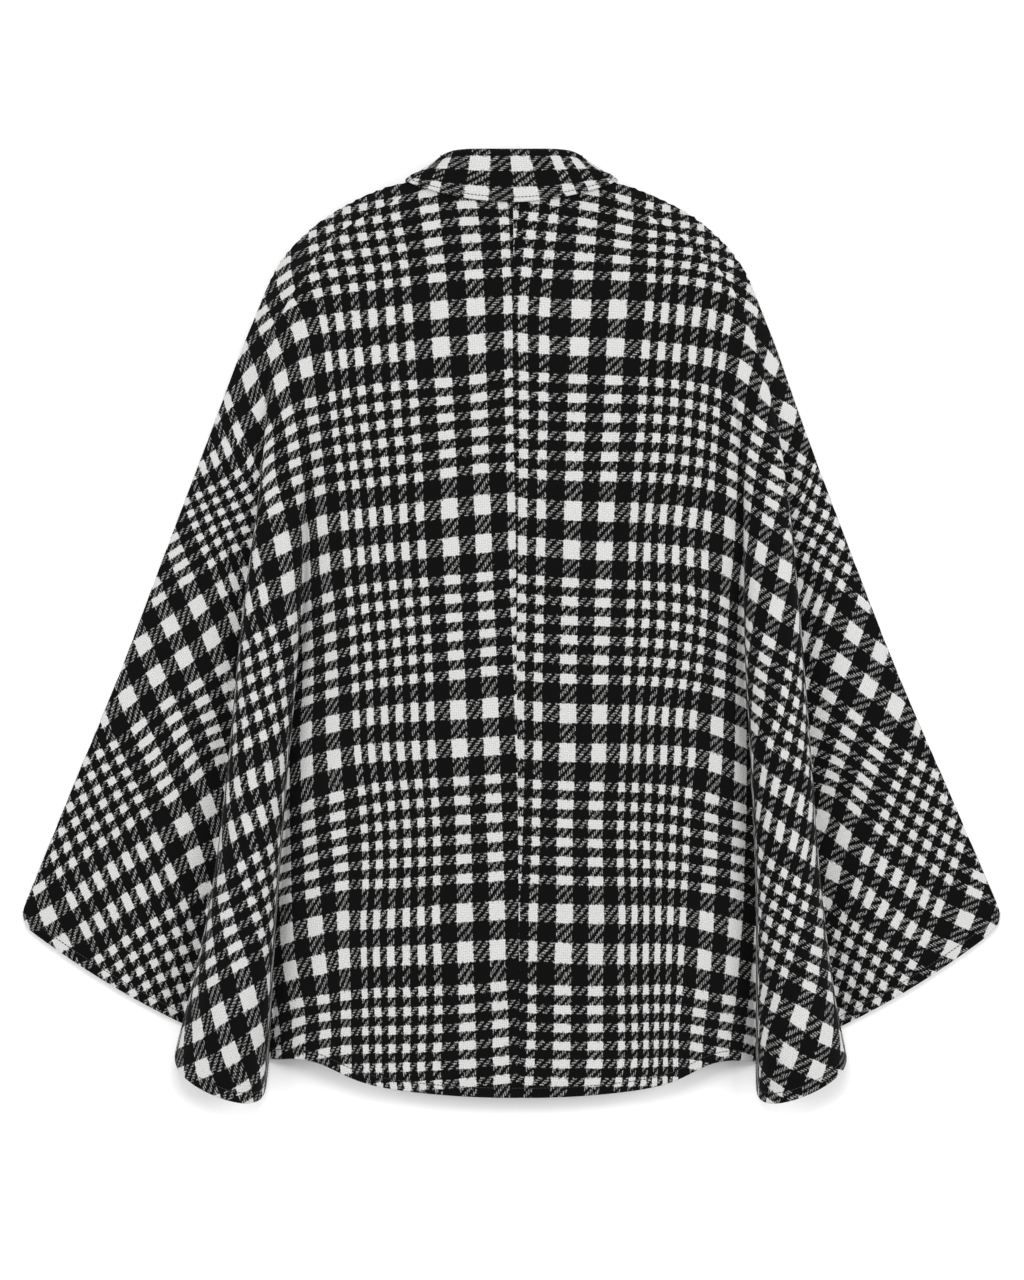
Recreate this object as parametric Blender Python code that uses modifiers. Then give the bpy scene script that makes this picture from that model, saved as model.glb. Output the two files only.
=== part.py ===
"""A wool cape with a turn-down collar, lying flat on its front with its back side up.

Sizes are in millimetres and become metres when a mesh is made. X runs across the back to the wearer's
right, Y runs up to the collar, and Z points away from the surface that the cape lies on. Each panel is
an open sheet, its outer side, which a Solidify modifier gives its wall on the inner side.
"""

import math
from collections import namedtuple

import bmesh
import bpy
import numpy as np

MM = 0.001

# Cloth, seams and the tone of each part of the garment
CLOTH = 2.4
SEAM_GAP = 0.3
ROUGHNESS = 0.9
BACK_GREY = 0.16
FRONT_GREY = 0.14
COLLAR_GREY = 0.18

# Centre back seam, which leans a little to the right on its way down
CENTRE_TOP_X = 1.4
CENTRE_HEM_X = 7.7
SEAM_GROOVE_DEPTH = 1.0
SEAM_GROOVE_WIDTH = 5.0

# The two raised folds, how much lower their hem hangs, and the slopes and the lifted hem beside them
FOLD_HEM_DROP_LEFT = 0.0585
FOLD_HEM_DROP_RIGHT = 0.0538
FOLD_HEM_POWER = 0.3
VALLEY_WIDTH = 80.0
VALLEY_HEM_LIFT = 0.012
VALLEY_HEM_CENTRE = 39.0
VALLEY_HEM_SPREAD = 32.0
VALLEY_FADE = 0.1
ROW_POWER = 2.2
WING_RISE_WIDTH = 70.0
EDGE_ROUNDING = 34.0

# Front panels
FRONT_OPENING_X = 1.4
FRONT_OPENING_GAP = 1.5
FRONT_NECK_Y = 315.0
FRONT_HEM_Y = -396.0
FRONT_SIDE_SHARE = 0.985
COLLAR_REACH = 48.0
COLLAR_FADE = 24.0

# Collar: the stand's upper edge, and the lower edge of the fall that lies over the back and under the front
STAND_CLOTH = 2.2
STAND_TOP_HALF_WIDTH = 64.0
STAND_TOP_BACK_Y = 424.6
STAND_TOP_SIDE_Y = 417.0
STAND_CORNER_POWER = 8
STAND_DIP_POWER = 2.2
STAND_TOP_FRONT_Y = 354.0
STAND_TOP_RISE = 1.2
FALL_SIDE_X = 95.0
FALL_BACK_Y = 381.0
FALL_SIDE_Y = 400.0
FALL_FRONT_Y = 297.0
FALL_POINT_X = 13.0
FALL_DIP_POWER = 1.8
FALL_LIFT = 1.6
FALL_SIDE_INSET = 7.2
NECK_SEAM = 0.45
COLLAR_OPENING_GAP = 4.0

# How far down each row lies, from the neckline at 0 to the hem at 1, where the row crosses the centre
# back, the fold's inner and outer crease and the side outline, and where it ends at that outline
Section = namedtuple("Section", "down centre_y crease_in crease_out edge_x edge_y")
LEFT_SECTIONS = (
    Section(0.00, 389.0, 42.0, 62.0, 72.0, 403.5),
    Section(0.06, 340.5, 80.0, 105.0, 116.5, 391.5),
    Section(0.13, 284.0, 124.5, 154.5, 167.0, 365.5),
    Section(0.20, 226.5, 159.0, 190.5, 207.5, 325.5),
    Section(0.28, 161.5, 180.5, 215.5, 234.5, 268.0),
    Section(0.40, 64.5, 185.5, 224.5, 268.5, 178.5),
    Section(0.55, -58.0, 191.0, 242.0, 311.0, 66.0),
    Section(0.70, -179.5, 202.0, 254.5, 353.5, -46.5),
    Section(0.85, -302.0, 211.5, 270.0, 398.5, -155.5),
    Section(1.00, -423.5, 218.5, 296.0, 443.5, -266.0),
    Section(1.07, -480.0, 222.5, 311.0, 465.0, -317.0),
)
RIGHT_SECTIONS = (
    Section(0.00, 389.0, 41.0, 61.5, 72.0, 403.5),
    Section(0.06, 340.5, 80.0, 102.0, 114.0, 391.0),
    Section(0.13, 284.0, 127.0, 151.5, 166.0, 364.5),
    Section(0.20, 226.5, 169.5, 193.0, 205.0, 324.0),
    Section(0.28, 161.5, 195.0, 219.5, 231.5, 266.0),
    Section(0.40, 64.5, 208.0, 243.0, 263.5, 176.5),
    Section(0.55, -58.0, 209.5, 258.5, 305.5, 64.0),
    Section(0.70, -179.5, 215.5, 269.0, 349.0, -47.5),
    Section(0.85, -302.0, 220.0, 279.0, 396.0, -156.0),
    Section(1.00, -423.5, 220.0, 296.0, 443.5, -267.0),
    Section(1.07, -480.0, 218.5, 310.0, 465.0, -318.0),
)

# Heights of the outer side over the surface along the same rows: at the centre back, in the valley at the
# fold's inner crease, the fold's own rise, at its outer crease, in the middle of the wing, and how far the
# front panel's edge is lifted at the side outline
Height = namedtuple("Height", "down centre valley fold foot wing lift")
HEIGHTS = (
    Height(0.00, 29.0, 28.5, 0.0, 27.5, 27.0, 14.0),
    Height(0.06, 31.5, 31.0, 0.0, 30.0, 29.0, 13.0),
    Height(0.13, 33.5, 32.5, 0.0, 31.0, 30.0, 12.0),
    Height(0.20, 34.5, 32.0, 0.0, 29.5, 28.0, 10.0),
    Height(0.28, 34.5, 29.0, 1.5, 25.0, 23.0, 7.0),
    Height(0.40, 33.5, 18.5, 11.0, 16.0, 16.0, 2.5),
    Height(0.55, 32.5, 8.5, 25.0, 8.0, 11.5, 0.0),
    Height(0.70, 32.0, 6.5, 31.0, 6.5, 10.0, 0.0),
    Height(0.85, 32.0, 6.2, 35.0, 6.2, 9.5, 0.0),
    Height(1.00, 32.5, 6.2, 39.0, 6.2, 9.0, 0.0),
    Height(1.07, 32.5, 6.2, 40.0, 6.2, 9.0, 0.0),
)

# Places of the mesh lines: across a half back 0 is the centre seam, 1 and 2 the creases, 3 the outline
BACK_ACROSS = (
    tuple(0.0 + step for step in (0.0, 0.03, 0.09, 0.22, 0.36, 0.5, 0.62, 0.74, 0.87))
    + tuple(1.0 + step / 10 for step in range(10))
    + tuple(2.0 + step for step in (0.0, 0.08, 0.22, 0.4, 0.58, 0.74, 0.86, 0.94, 1.0))
)
BACK_ROWS = 27
FRONT_ACROSS = (0.0, 0.1, 0.24, 0.42, 0.58, 0.7, 0.8, 0.88, 0.95, 1.0)
FRONT_ROWS = 18

# Places of the collar's mesh lines: along the back of the neck, and out and up from the stand's upper edge,
# over which the fall rolls
RING_BACK = (0.0, 0.2, 0.4, 0.55, 0.67, 0.77, 0.85, 0.91, 0.96, 1.0)
ROLL_PROFILE = ((-1.9, 3.4), (-0.4, 3.6), (1.6, 3.0), (3.0, 1.2), (3.4, -1.6))
FALL_ROWS = 4

# Points on a side outline for distances to it, and steps of the search for the row through a point
OUTLINE_SAMPLES = 90
HALVINGS = 24


def column(table, name, down):
    """Read a column of a table as a smooth curve that never overshoots its rows."""
    rows = np.array([row.down for row in table])
    values = np.array([getattr(row, name) for row in table])
    steps = np.diff(values) / np.diff(rows)
    slopes = np.zeros_like(values)
    slopes[0] = steps[0]
    slopes[-1] = steps[-1]
    same_way = steps[:-1] * steps[1:] > 0.0
    safe = np.where(same_way, steps[:-1] + steps[1:], 1.0)
    slopes[1:-1] = np.where(same_way, 2.0 * steps[:-1] * steps[1:] / safe, 0.0)
    place = np.clip(np.searchsorted(rows, down, side="right") - 1, 0, len(rows) - 2)
    width = rows[place + 1] - rows[place]
    part = (down - rows[place]) / width
    near = (1.0 + 2.0 * part) * (1.0 - part) ** 2 * values[place]
    far = part**2 * (3.0 - 2.0 * part) * values[place + 1]
    bend_near = part * (1.0 - part) ** 2 * width * slopes[place]
    bend_far = part**2 * (part - 1.0) * width * slopes[place + 1]
    return near + far + bend_near + bend_far


def ease(share):
    """Quarter sine from 0 to 1."""
    return np.sin(0.5 * math.pi * np.clip(share, 0.0, 1.0))


def smooth_step(share):
    """Soft step from 0 to 1, level at both ends."""
    share = np.clip(share, 0.0, 1.0)
    return share * share * (3.0 - 2.0 * share)


class Half:
    """One side of the cape, seen as if it were the right side: x is the distance from the middle."""

    def __init__(self, side, sections, fold_drop):
        self.side = side
        self.sections = sections
        self.fold_drop = fold_drop
        down = np.linspace(0.0, sections[-1].down, OUTLINE_SAMPLES)
        edge_x = column(sections, "edge_x", down)
        edge_y = column(sections, "edge_y", down)
        self.outline = np.stack([edge_x, edge_y], axis=1)

    def centre_x(self, down):
        """The centre back seam, as a distance on this side."""
        return self.side * (CENTRE_TOP_X + (CENTRE_HEM_X - CENTRE_TOP_X) * down)

    def edge_distance(self, x, y):
        """Distance in plan from points to the side outline."""
        start = self.outline[:-1]
        run = self.outline[1:] - start
        point = np.stack([x, y], axis=-1)[..., None, :]
        along = np.sum((point - start) * run, axis=-1) / np.sum(run * run, axis=-1)
        nearest = start + np.clip(along, 0.0, 1.0)[..., None] * run
        return np.sqrt(np.sum((point - nearest) ** 2, axis=-1)).min(axis=-1)

    def row_y(self, x, centre_x, centre_y, edge_x, edge_y):
        """A row drops from the outline to the centre in one even curve, as the hem does."""
        share = np.clip((x - centre_x) / (edge_x - centre_x), 0.0, None)
        return centre_y + (edge_y - centre_y) * share**ROW_POWER

    def front_edge_height(self, down):
        """Height of the front panel's outer side at the outline."""
        return column(HEIGHTS, "lift", down)

    def round_edge(self, x, y, z, down):
        """Bend the back down to the side seam, where it meets the front's edge a seam gap away."""
        near = np.clip(1.0 - self.edge_distance(x, y) / EDGE_ROUNDING, 0.0, 1.0)
        lift = self.front_edge_height(down)
        back_slope = 2.0 * (z - lift - 2.0 * CLOTH) / EDGE_ROUNDING
        front_slope = 2.0 * lift / EDGE_ROUNDING
        walls = 1.0 / np.sqrt(1.0 + back_slope**2) + 1.0 / np.sqrt(1.0 + front_slope**2)
        edge_z = lift + CLOTH * walls + SEAM_GAP
        return z + (edge_z - z) * near**2

    def back(self, across, down):
        """Outer side of the half back: across 0 to 1 is the middle, to 2 the raised fold, to 3 the wing."""
        across, down = np.broadcast_arrays(np.asarray(across, float), np.asarray(down, float))
        turn = math.pi * np.clip(across - 1.0, 0.0, 1.0)
        rise = np.clip(np.sin(turn), 0.0, 1.0)
        crease = column(self.sections, "crease_in", down)
        from_valley = (crease * np.clip(1.0 - across, 0.0, 1.0) - VALLEY_HEM_CENTRE) / VALLEY_HEM_SPREAD
        valley_lift = VALLEY_HEM_LIFT * down**2 * np.exp(-(from_valley**2))
        valley_lift = valley_lift * ease((1.0 - across) / VALLEY_FADE)
        hang = down * (1.0 + self.fold_drop * rise**FOLD_HEM_POWER - valley_lift)
        centre_x = self.centre_x(hang) + 0.5 * SEAM_GAP
        inner = column(self.sections, "crease_in", hang)
        outer = column(self.sections, "crease_out", hang)
        edge_x = column(self.sections, "edge_x", hang)
        edge_y = column(self.sections, "edge_y", hang)
        centre_y = column(self.sections, "centre_y", hang)
        middle_x = centre_x + (inner - centre_x) * np.clip(across, 0.0, 1.0)
        fold_x = inner + (outer - inner) * 0.5 * (1.0 - np.cos(turn))
        wing_x = outer + (edge_x - outer) * np.clip(across - 2.0, 0.0, 1.0)
        x = np.where(across <= 1.0, middle_x, np.where(across <= 2.0, fold_x, wing_x))
        y = self.row_y(x, centre_x, centre_y, edge_x, edge_y)
        valley = column(HEIGHTS, "valley", hang)
        foot = column(HEIGHTS, "foot", hang)
        middle_z = valley + (column(HEIGHTS, "centre", hang) - valley) * ease((inner - x) / VALLEY_WIDTH)
        middle_z = middle_z - SEAM_GROOVE_DEPTH * np.exp(-(((x - centre_x) / SEAM_GROOVE_WIDTH) ** 2))
        fold_share = 0.5 * (1.0 - np.cos(turn))
        fold_z = valley + (foot - valley) * fold_share + column(HEIGHTS, "fold", hang) * rise
        wing_z = foot + (column(HEIGHTS, "wing", hang) - foot) * ease((x - outer) / WING_RISE_WIDTH)
        z = np.where(across <= 1.0, middle_z, np.where(across <= 2.0, fold_z, wing_z))
        return x, y, self.round_edge(x, y, z, hang)

    def front(self, across, down):
        """Outer side of the front, which faces the surface: across runs from the opening to the outline."""
        across, down = np.broadcast_arrays(np.asarray(across, float), np.asarray(down, float))
        centre_x, centre_y, edge_x, edge_y = self.front_row(down)
        x = centre_x + (edge_x - centre_x) * across
        y = self.row_y(x, centre_x, centre_y, edge_x, edge_y)
        return x, y, self.front_height(x, y, down)

    def back_row(self, down):
        """Centre and outline ends of a row of the back."""
        ends = [column(self.sections, name, down) for name in ("centre_y", "edge_x", "edge_y")]
        return (self.centre_x(down) + 0.5 * SEAM_GAP, *ends)

    def front_row(self, down):
        """Centre and outline ends of a row of the front."""
        centre_x = self.side * FRONT_OPENING_X + 0.5 * FRONT_OPENING_GAP
        centre_y = FRONT_NECK_Y + (FRONT_HEM_Y - FRONT_NECK_Y) * down
        side_down = down * FRONT_SIDE_SHARE
        edge_x = column(self.sections, "edge_x", side_down)
        edge_y = column(self.sections, "edge_y", side_down)
        return centre_x, centre_y, edge_x, edge_y

    def front_height(self, x, y, down):
        """Height of the front's outer side: on the surface, over the collar, and up at the outline."""
        near = np.clip(1.0 - self.edge_distance(x, y) / EDGE_ROUNDING, 0.0, 1.0)
        reach = down * (FRONT_NECK_Y - FRONT_HEM_Y)
        over_collar = (CLOTH + FALL_LIFT) * smooth_step(1.0 - (reach - COLLAR_REACH) / COLLAR_FADE)
        lift = np.maximum(self.front_edge_height(down * FRONT_SIDE_SHARE), over_collar)
        return over_collar + (lift - over_collar) * near**2

    def down_at(self, row, x, y):
        """The row of a panel that passes through a point near the neck, found by halving."""
        low = 0.0
        high = 1.0
        for _ in range(HALVINGS):
            middle = 0.5 * (low + high)
            if self.row_y(x, *row(middle)) > y:
                low = middle
            else:
                high = middle
        return low

    def clear_of_body(self, x, y, z, back):
        """Keep a point of the collar's fall outside the panel that it lies on."""
        row = self.back_row if back else self.front_row
        inside = min(x, FALL_SIDE_X - FALL_SIDE_INSET)
        down = self.down_at(row, inside, y)
        if down <= 0.0:
            return z
        if back:
            height = self.round_edge(np.array(inside), np.array(y), column(HEIGHTS, "centre", down), down)
            return max(z, float(height) + CLOTH + FALL_LIFT)
        height = self.front_height(np.array(inside), np.array(y), down)
        return min(z, max(0.0, float(height) - CLOTH - FALL_LIFT))


LEFT = Half(-1, LEFT_SECTIONS, FOLD_HEM_DROP_LEFT)
RIGHT = Half(1, RIGHT_SECTIONS, FOLD_HEM_DROP_RIGHT)


def half_of(x):
    """The side of the cape that a point is on."""
    return RIGHT if x > 0.0 else LEFT


def cloth_material(name, grey):
    """Brushed wool in one even tone between the check's black and white."""
    material = bpy.data.materials.new(name)
    material.use_nodes = True
    shader = material.node_tree.nodes["Principled BSDF"]
    shader.inputs["Base Color"].default_value = (grey, grey, grey, 1.0)
    shader.inputs["Roughness"].default_value = ROUGHNESS
    shader.inputs["Metallic"].default_value = 0.0
    return material


def sheet(name, points, collection, grey, thickness=CLOTH, flip=False):
    """Move the points of a grid to points[row][column] and give the sheet its wall on the inner side."""
    points = np.asarray(points)
    rows, columns = points.shape[:2]
    form = bmesh.new()
    bmesh.ops.create_grid(form, x_segments=columns - 1, y_segments=rows - 1, size=1.0)
    for vertex in form.verts:
        place = round((vertex.co.x + 1.0) / 2.0 * (columns - 1))
        row = round((vertex.co.y + 1.0) / 2.0 * (rows - 1))
        vertex.co = points[row, place] * MM
    if flip:
        bmesh.ops.reverse_faces(form, faces=form.faces)
    mesh = bpy.data.meshes.new(name)
    form.to_mesh(mesh)
    form.free()
    mesh.shade_smooth()
    mesh.materials.append(cloth_material(name, grey))
    piece = bpy.data.objects.new(name, mesh)
    collection.objects.link(piece)
    wall = piece.modifiers.new("wall", "SOLIDIFY")
    wall.thickness = thickness * MM
    wall.offset = -1.0
    return piece


def stack(x, y, z, side=1):
    """Put coordinates together as points, mirrored to their side."""
    return np.stack([side * x, y, z], axis=-1)


def half_back(half, name, collection):
    """Half of the back, from the hem up, its outer side facing up."""
    down = np.linspace(1.0, 0.0, BACK_ROWS)[:, None]
    points = stack(*half.back(np.array(BACK_ACROSS)[None, :], down), half.side)
    return sheet(name, points, collection, BACK_GREY, flip=half.side < 0)


def half_front(half, name, collection):
    """One front panel, its outer side facing the surface."""
    down = np.linspace(1.0, 0.0, FRONT_ROWS)[:, None]
    points = stack(*half.front(np.array(FRONT_ACROSS)[None, :], down), half.side)
    return sheet(name, points, collection, FRONT_GREY, flip=half.side > 0)


def neck_ring():
    """The neckline all round the outer side of the neck, from one front edge to the other."""
    halves = []
    for half in (LEFT, RIGHT):
        back = stack(*half.back(3.0 * np.array(RING_BACK), 0.0), half.side)
        front = stack(*half.front(np.array(FRONT_ACROSS[::-1]), 0.0), half.side)
        halves.append(np.concatenate([back, front]))
    return np.concatenate([halves[0][::-1], halves[1][1:]])


def is_back(ring):
    """True for the ring's points on the back of the neck."""
    places = np.arange(len(ring))
    return np.abs(places - len(ring) // 2) < len(RING_BACK)


def stand_top(ring):
    """The stand's upper edge: the neckline drawn in, straight along the back and dipping at the front."""
    width = np.abs(ring[:, 0]).max()
    share = np.clip(np.abs(ring[:, 0]) / width, 0.0, 1.0)
    back_y = STAND_TOP_BACK_Y + (STAND_TOP_SIDE_Y - STAND_TOP_BACK_Y) * share**STAND_CORNER_POWER
    front_y = STAND_TOP_FRONT_Y + (STAND_TOP_SIDE_Y - STAND_TOP_FRONT_Y) * share**STAND_DIP_POWER
    top = ring.copy()
    top[:, 0] = ring[:, 0] * STAND_TOP_HALF_WIDTH / width
    top[:, 1] = np.where(is_back(ring), back_y, front_y)
    top[:, 2] = ring[:, 2] + STAND_TOP_RISE
    return top


def unit(vectors):
    """Each row of an array at length 1."""
    return vectors / np.linalg.norm(vectors, axis=1)[:, None]


def ring_outward(top, upward):
    """Directions out of the ring at its points, longer at corners so that an offset keeps its distance."""
    along = np.diff(top, axis=0)
    before = unit(np.cross(np.concatenate([along[:1], along]), upward))
    after = unit(np.cross(np.concatenate([along, along[-1:]]), upward))
    middle = unit(before + after)
    return middle / np.sum(middle * before, axis=1)[:, None]


def fall_edge(ring):
    """The fall's lower edge: level over the back, and drawn down to two points under the front."""
    share = np.abs(ring[:, 0]) / np.abs(ring[:, 0]).max()
    back = is_back(ring)
    front_reach = FALL_POINT_X + (FALL_SIDE_X - FALL_POINT_X) * share
    reach = np.where(back, FALL_SIDE_X * share, front_reach)
    back_y = FALL_BACK_Y + (FALL_SIDE_Y - FALL_BACK_Y) * share**2
    front_y = FALL_FRONT_Y + (FALL_SIDE_Y - FALL_FRONT_Y) * share**FALL_DIP_POWER
    edge = np.stack([np.copysign(reach, ring[:, 0]), np.where(back, back_y, front_y)], axis=1)
    heights = []
    for (x, y), over in zip(edge, back):
        start = -math.inf if over else math.inf
        heights.append(half_of(x).clear_of_body(abs(x), y, start, over))
    return np.column_stack([edge, heights])


def collar(collection):
    """The stand, sewn in the neckline, and the fall, which rolls over its top and lies down outside."""
    ring = neck_ring()
    ring[0, 0] -= 0.5 * COLLAR_OPENING_GAP
    ring[-1, 0] += 0.5 * COLLAR_OPENING_GAP
    foot = ring + np.array([0.0, NECK_SEAM, 0.0])
    top = stand_top(ring)
    sheet("collar_stand", [foot, 0.5 * (foot + top), top], collection, COLLAR_GREY, STAND_CLOTH)
    along = unit(np.gradient(top, axis=0))
    rise = top - foot
    upward = unit(rise - np.sum(rise * along, axis=1)[:, None] * along)
    outward = ring_outward(top, upward)
    fall = [top + out * outward + up * upward for out, up in ROLL_PROFILE]
    edge = fall_edge(ring)
    back = is_back(ring)
    rolled = fall[-1]
    for step in range(1, FALL_ROWS + 1):
        row = rolled + (edge - rolled) * step / FALL_ROWS
        for place, (x, y, z) in enumerate(row):
            row[place, 2] = half_of(x).clear_of_body(abs(x), y, z, back[place])
        fall.append(row)
    sheet("collar_fall", fall, collection, COLLAR_GREY, flip=True)


def main():
    """Clear the scene and build the cape's pieces in one collection."""
    for old in list(bpy.data.objects):
        bpy.data.objects.remove(old)
    collection = bpy.data.collections.new("cape")
    bpy.context.scene.collection.children.link(collection)
    half_back(LEFT, "back_left", collection)
    half_back(RIGHT, "back_right", collection)
    half_front(LEFT, "front_left", collection)
    half_front(RIGHT, "front_right", collection)
    collar(collection)


main()
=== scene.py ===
"""Dresses the cape: finer cloth panels over the fixed frame, woven check, stitching, studio and camera.

Lengths are millimetres and become metres when a mesh is made. X runs across the back to the wearer's right,
Y runs up to the collar and Z points away from the surface that the cape lies on. The cloth's UV map counts
threads: U counts warp ends towards +X, V counts weft picks downwards. The tables of crossings say where lines
of the check meet, read one by one: for each pick, some ends with the pixel of the photograph in which the
middle of their white square lies. Ends are counted outwards from the centre back seam on both halves.
"""

import logging
import math
from dataclasses import dataclass
from enum import Enum
from typing import Mapping, NamedTuple, Sequence

import bpy
import numpy as np
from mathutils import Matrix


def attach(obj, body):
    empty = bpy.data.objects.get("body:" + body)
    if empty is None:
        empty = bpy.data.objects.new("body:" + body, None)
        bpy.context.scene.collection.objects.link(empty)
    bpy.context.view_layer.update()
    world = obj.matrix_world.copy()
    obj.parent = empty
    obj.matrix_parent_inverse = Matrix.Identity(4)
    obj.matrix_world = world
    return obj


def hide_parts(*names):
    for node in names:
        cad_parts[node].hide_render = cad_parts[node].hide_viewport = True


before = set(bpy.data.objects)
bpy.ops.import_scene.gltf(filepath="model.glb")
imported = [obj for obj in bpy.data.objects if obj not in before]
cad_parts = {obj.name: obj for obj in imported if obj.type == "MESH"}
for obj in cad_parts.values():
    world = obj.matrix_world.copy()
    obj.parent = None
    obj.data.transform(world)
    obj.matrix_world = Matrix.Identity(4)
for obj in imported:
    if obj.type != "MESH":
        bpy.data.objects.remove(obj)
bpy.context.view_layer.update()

LOG = logging.getLogger("cape")
MM = 0.001
CLOTH = 2.4
STAND_CLOTH = 2.2
LEFT_TUCK = 55.0
RIGHT_TUCK = 80.0
SEAM_GAP = 0.3
END_MM = 1.845
PICK_MM = 2.15
PICK_REPEAT = 84.0
TWILL_REPEAT = 4.0
HALF_THREAD = 0.5
PHOTO_STEP = 0.9
PHOTO_CENTRE = (511.5, 625.5)
UP = np.array([0.0, 0.0, 1.0])

Array = np.ndarray
Crossings = Mapping[int, Sequence[tuple[float, float, float]]]


class Row(NamedTuple):
    """Where a row of the back crosses the centre, the fold's creases and the outline, and ends."""

    down: float
    centre_y: float
    crease_in: float
    crease_out: float
    edge_x: float
    edge_y: float


class Relief(NamedTuple):
    """Heights of the outer side along a row of the back, and the lift of the front's edge under it."""

    down: float
    centre: float
    valley: float
    fold: float
    foot: float
    wing: float
    lift: float


class Band(NamedTuple):
    """Threads from start to end, white in the first half of each step."""

    start: float
    end: float
    step: float


class Grain(NamedTuple):
    """A noise: its scale, its detail and the place at which it is read."""

    scale: float
    detail: float
    seed: float


class Lamp(NamedTuple):
    """A square soft light, aimed at the origin, in metres and watts."""

    name: str
    place: tuple[float, float, float]
    size: float
    power: float


LEFT_ROWS = (
    Row(0.00, 389.0, 42.0, 62.0, 72.0, 403.5),
    Row(0.06, 340.5, 80.0, 105.0, 116.5, 391.5),
    Row(0.13, 284.0, 124.5, 154.5, 167.0, 365.5),
    Row(0.20, 226.5, 159.0, 190.5, 207.5, 325.5),
    Row(0.28, 161.5, 180.5, 215.5, 234.5, 268.0),
    Row(0.40, 64.5, 185.5, 224.5, 268.5, 178.5),
    Row(0.55, -58.0, 191.0, 242.0, 311.0, 66.0),
    Row(0.70, -179.5, 202.0, 254.5, 353.5, -46.5),
    Row(0.85, -302.0, 211.5, 270.0, 398.5, -155.5),
    Row(1.00, -423.5, 218.5, 296.0, 443.5, -266.0),
    Row(1.07, -480.0, 222.5, 311.0, 465.0, -317.0),
)
RIGHT_ROWS = (
    Row(0.00, 389.0, 41.0, 61.5, 72.0, 403.5),
    Row(0.06, 340.5, 80.0, 102.0, 114.0, 391.0),
    Row(0.13, 284.0, 127.0, 151.5, 166.0, 364.5),
    Row(0.20, 226.5, 169.5, 193.0, 205.0, 324.0),
    Row(0.28, 161.5, 195.0, 219.5, 231.5, 266.0),
    Row(0.40, 64.5, 208.0, 243.0, 263.5, 176.5),
    Row(0.55, -58.0, 209.5, 258.5, 305.5, 64.0),
    Row(0.70, -179.5, 215.5, 269.0, 349.0, -47.5),
    Row(0.85, -302.0, 220.0, 279.0, 396.0, -156.0),
    Row(1.00, -423.5, 220.0, 296.0, 443.5, -267.0),
    Row(1.07, -480.0, 218.5, 310.0, 465.0, -318.0),
)
RELIEF = (
    Relief(0.00, 29.0, 28.5, 0.0, 27.5, 27.0, 14.0),
    Relief(0.06, 31.5, 31.0, 0.0, 30.0, 29.0, 13.0),
    Relief(0.13, 33.5, 32.5, 0.0, 31.0, 30.0, 12.0),
    Relief(0.20, 34.5, 32.0, 0.0, 29.5, 28.0, 10.0),
    Relief(0.28, 34.5, 29.0, 1.5, 25.0, 23.0, 7.0),
    Relief(0.40, 33.5, 18.5, 11.0, 16.0, 16.0, 2.5),
    Relief(0.55, 32.5, 8.5, 25.0, 8.0, 11.5, 0.0),
    Relief(0.70, 32.0, 6.5, 31.0, 6.5, 10.0, 0.0),
    Relief(0.85, 32.0, 6.2, 35.0, 6.2, 9.5, 0.0),
    Relief(1.00, 32.5, 6.2, 39.0, 6.2, 9.0, 0.0),
    Relief(1.07, 32.5, 6.2, 40.0, 6.2, 9.0, 0.0),
)

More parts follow.
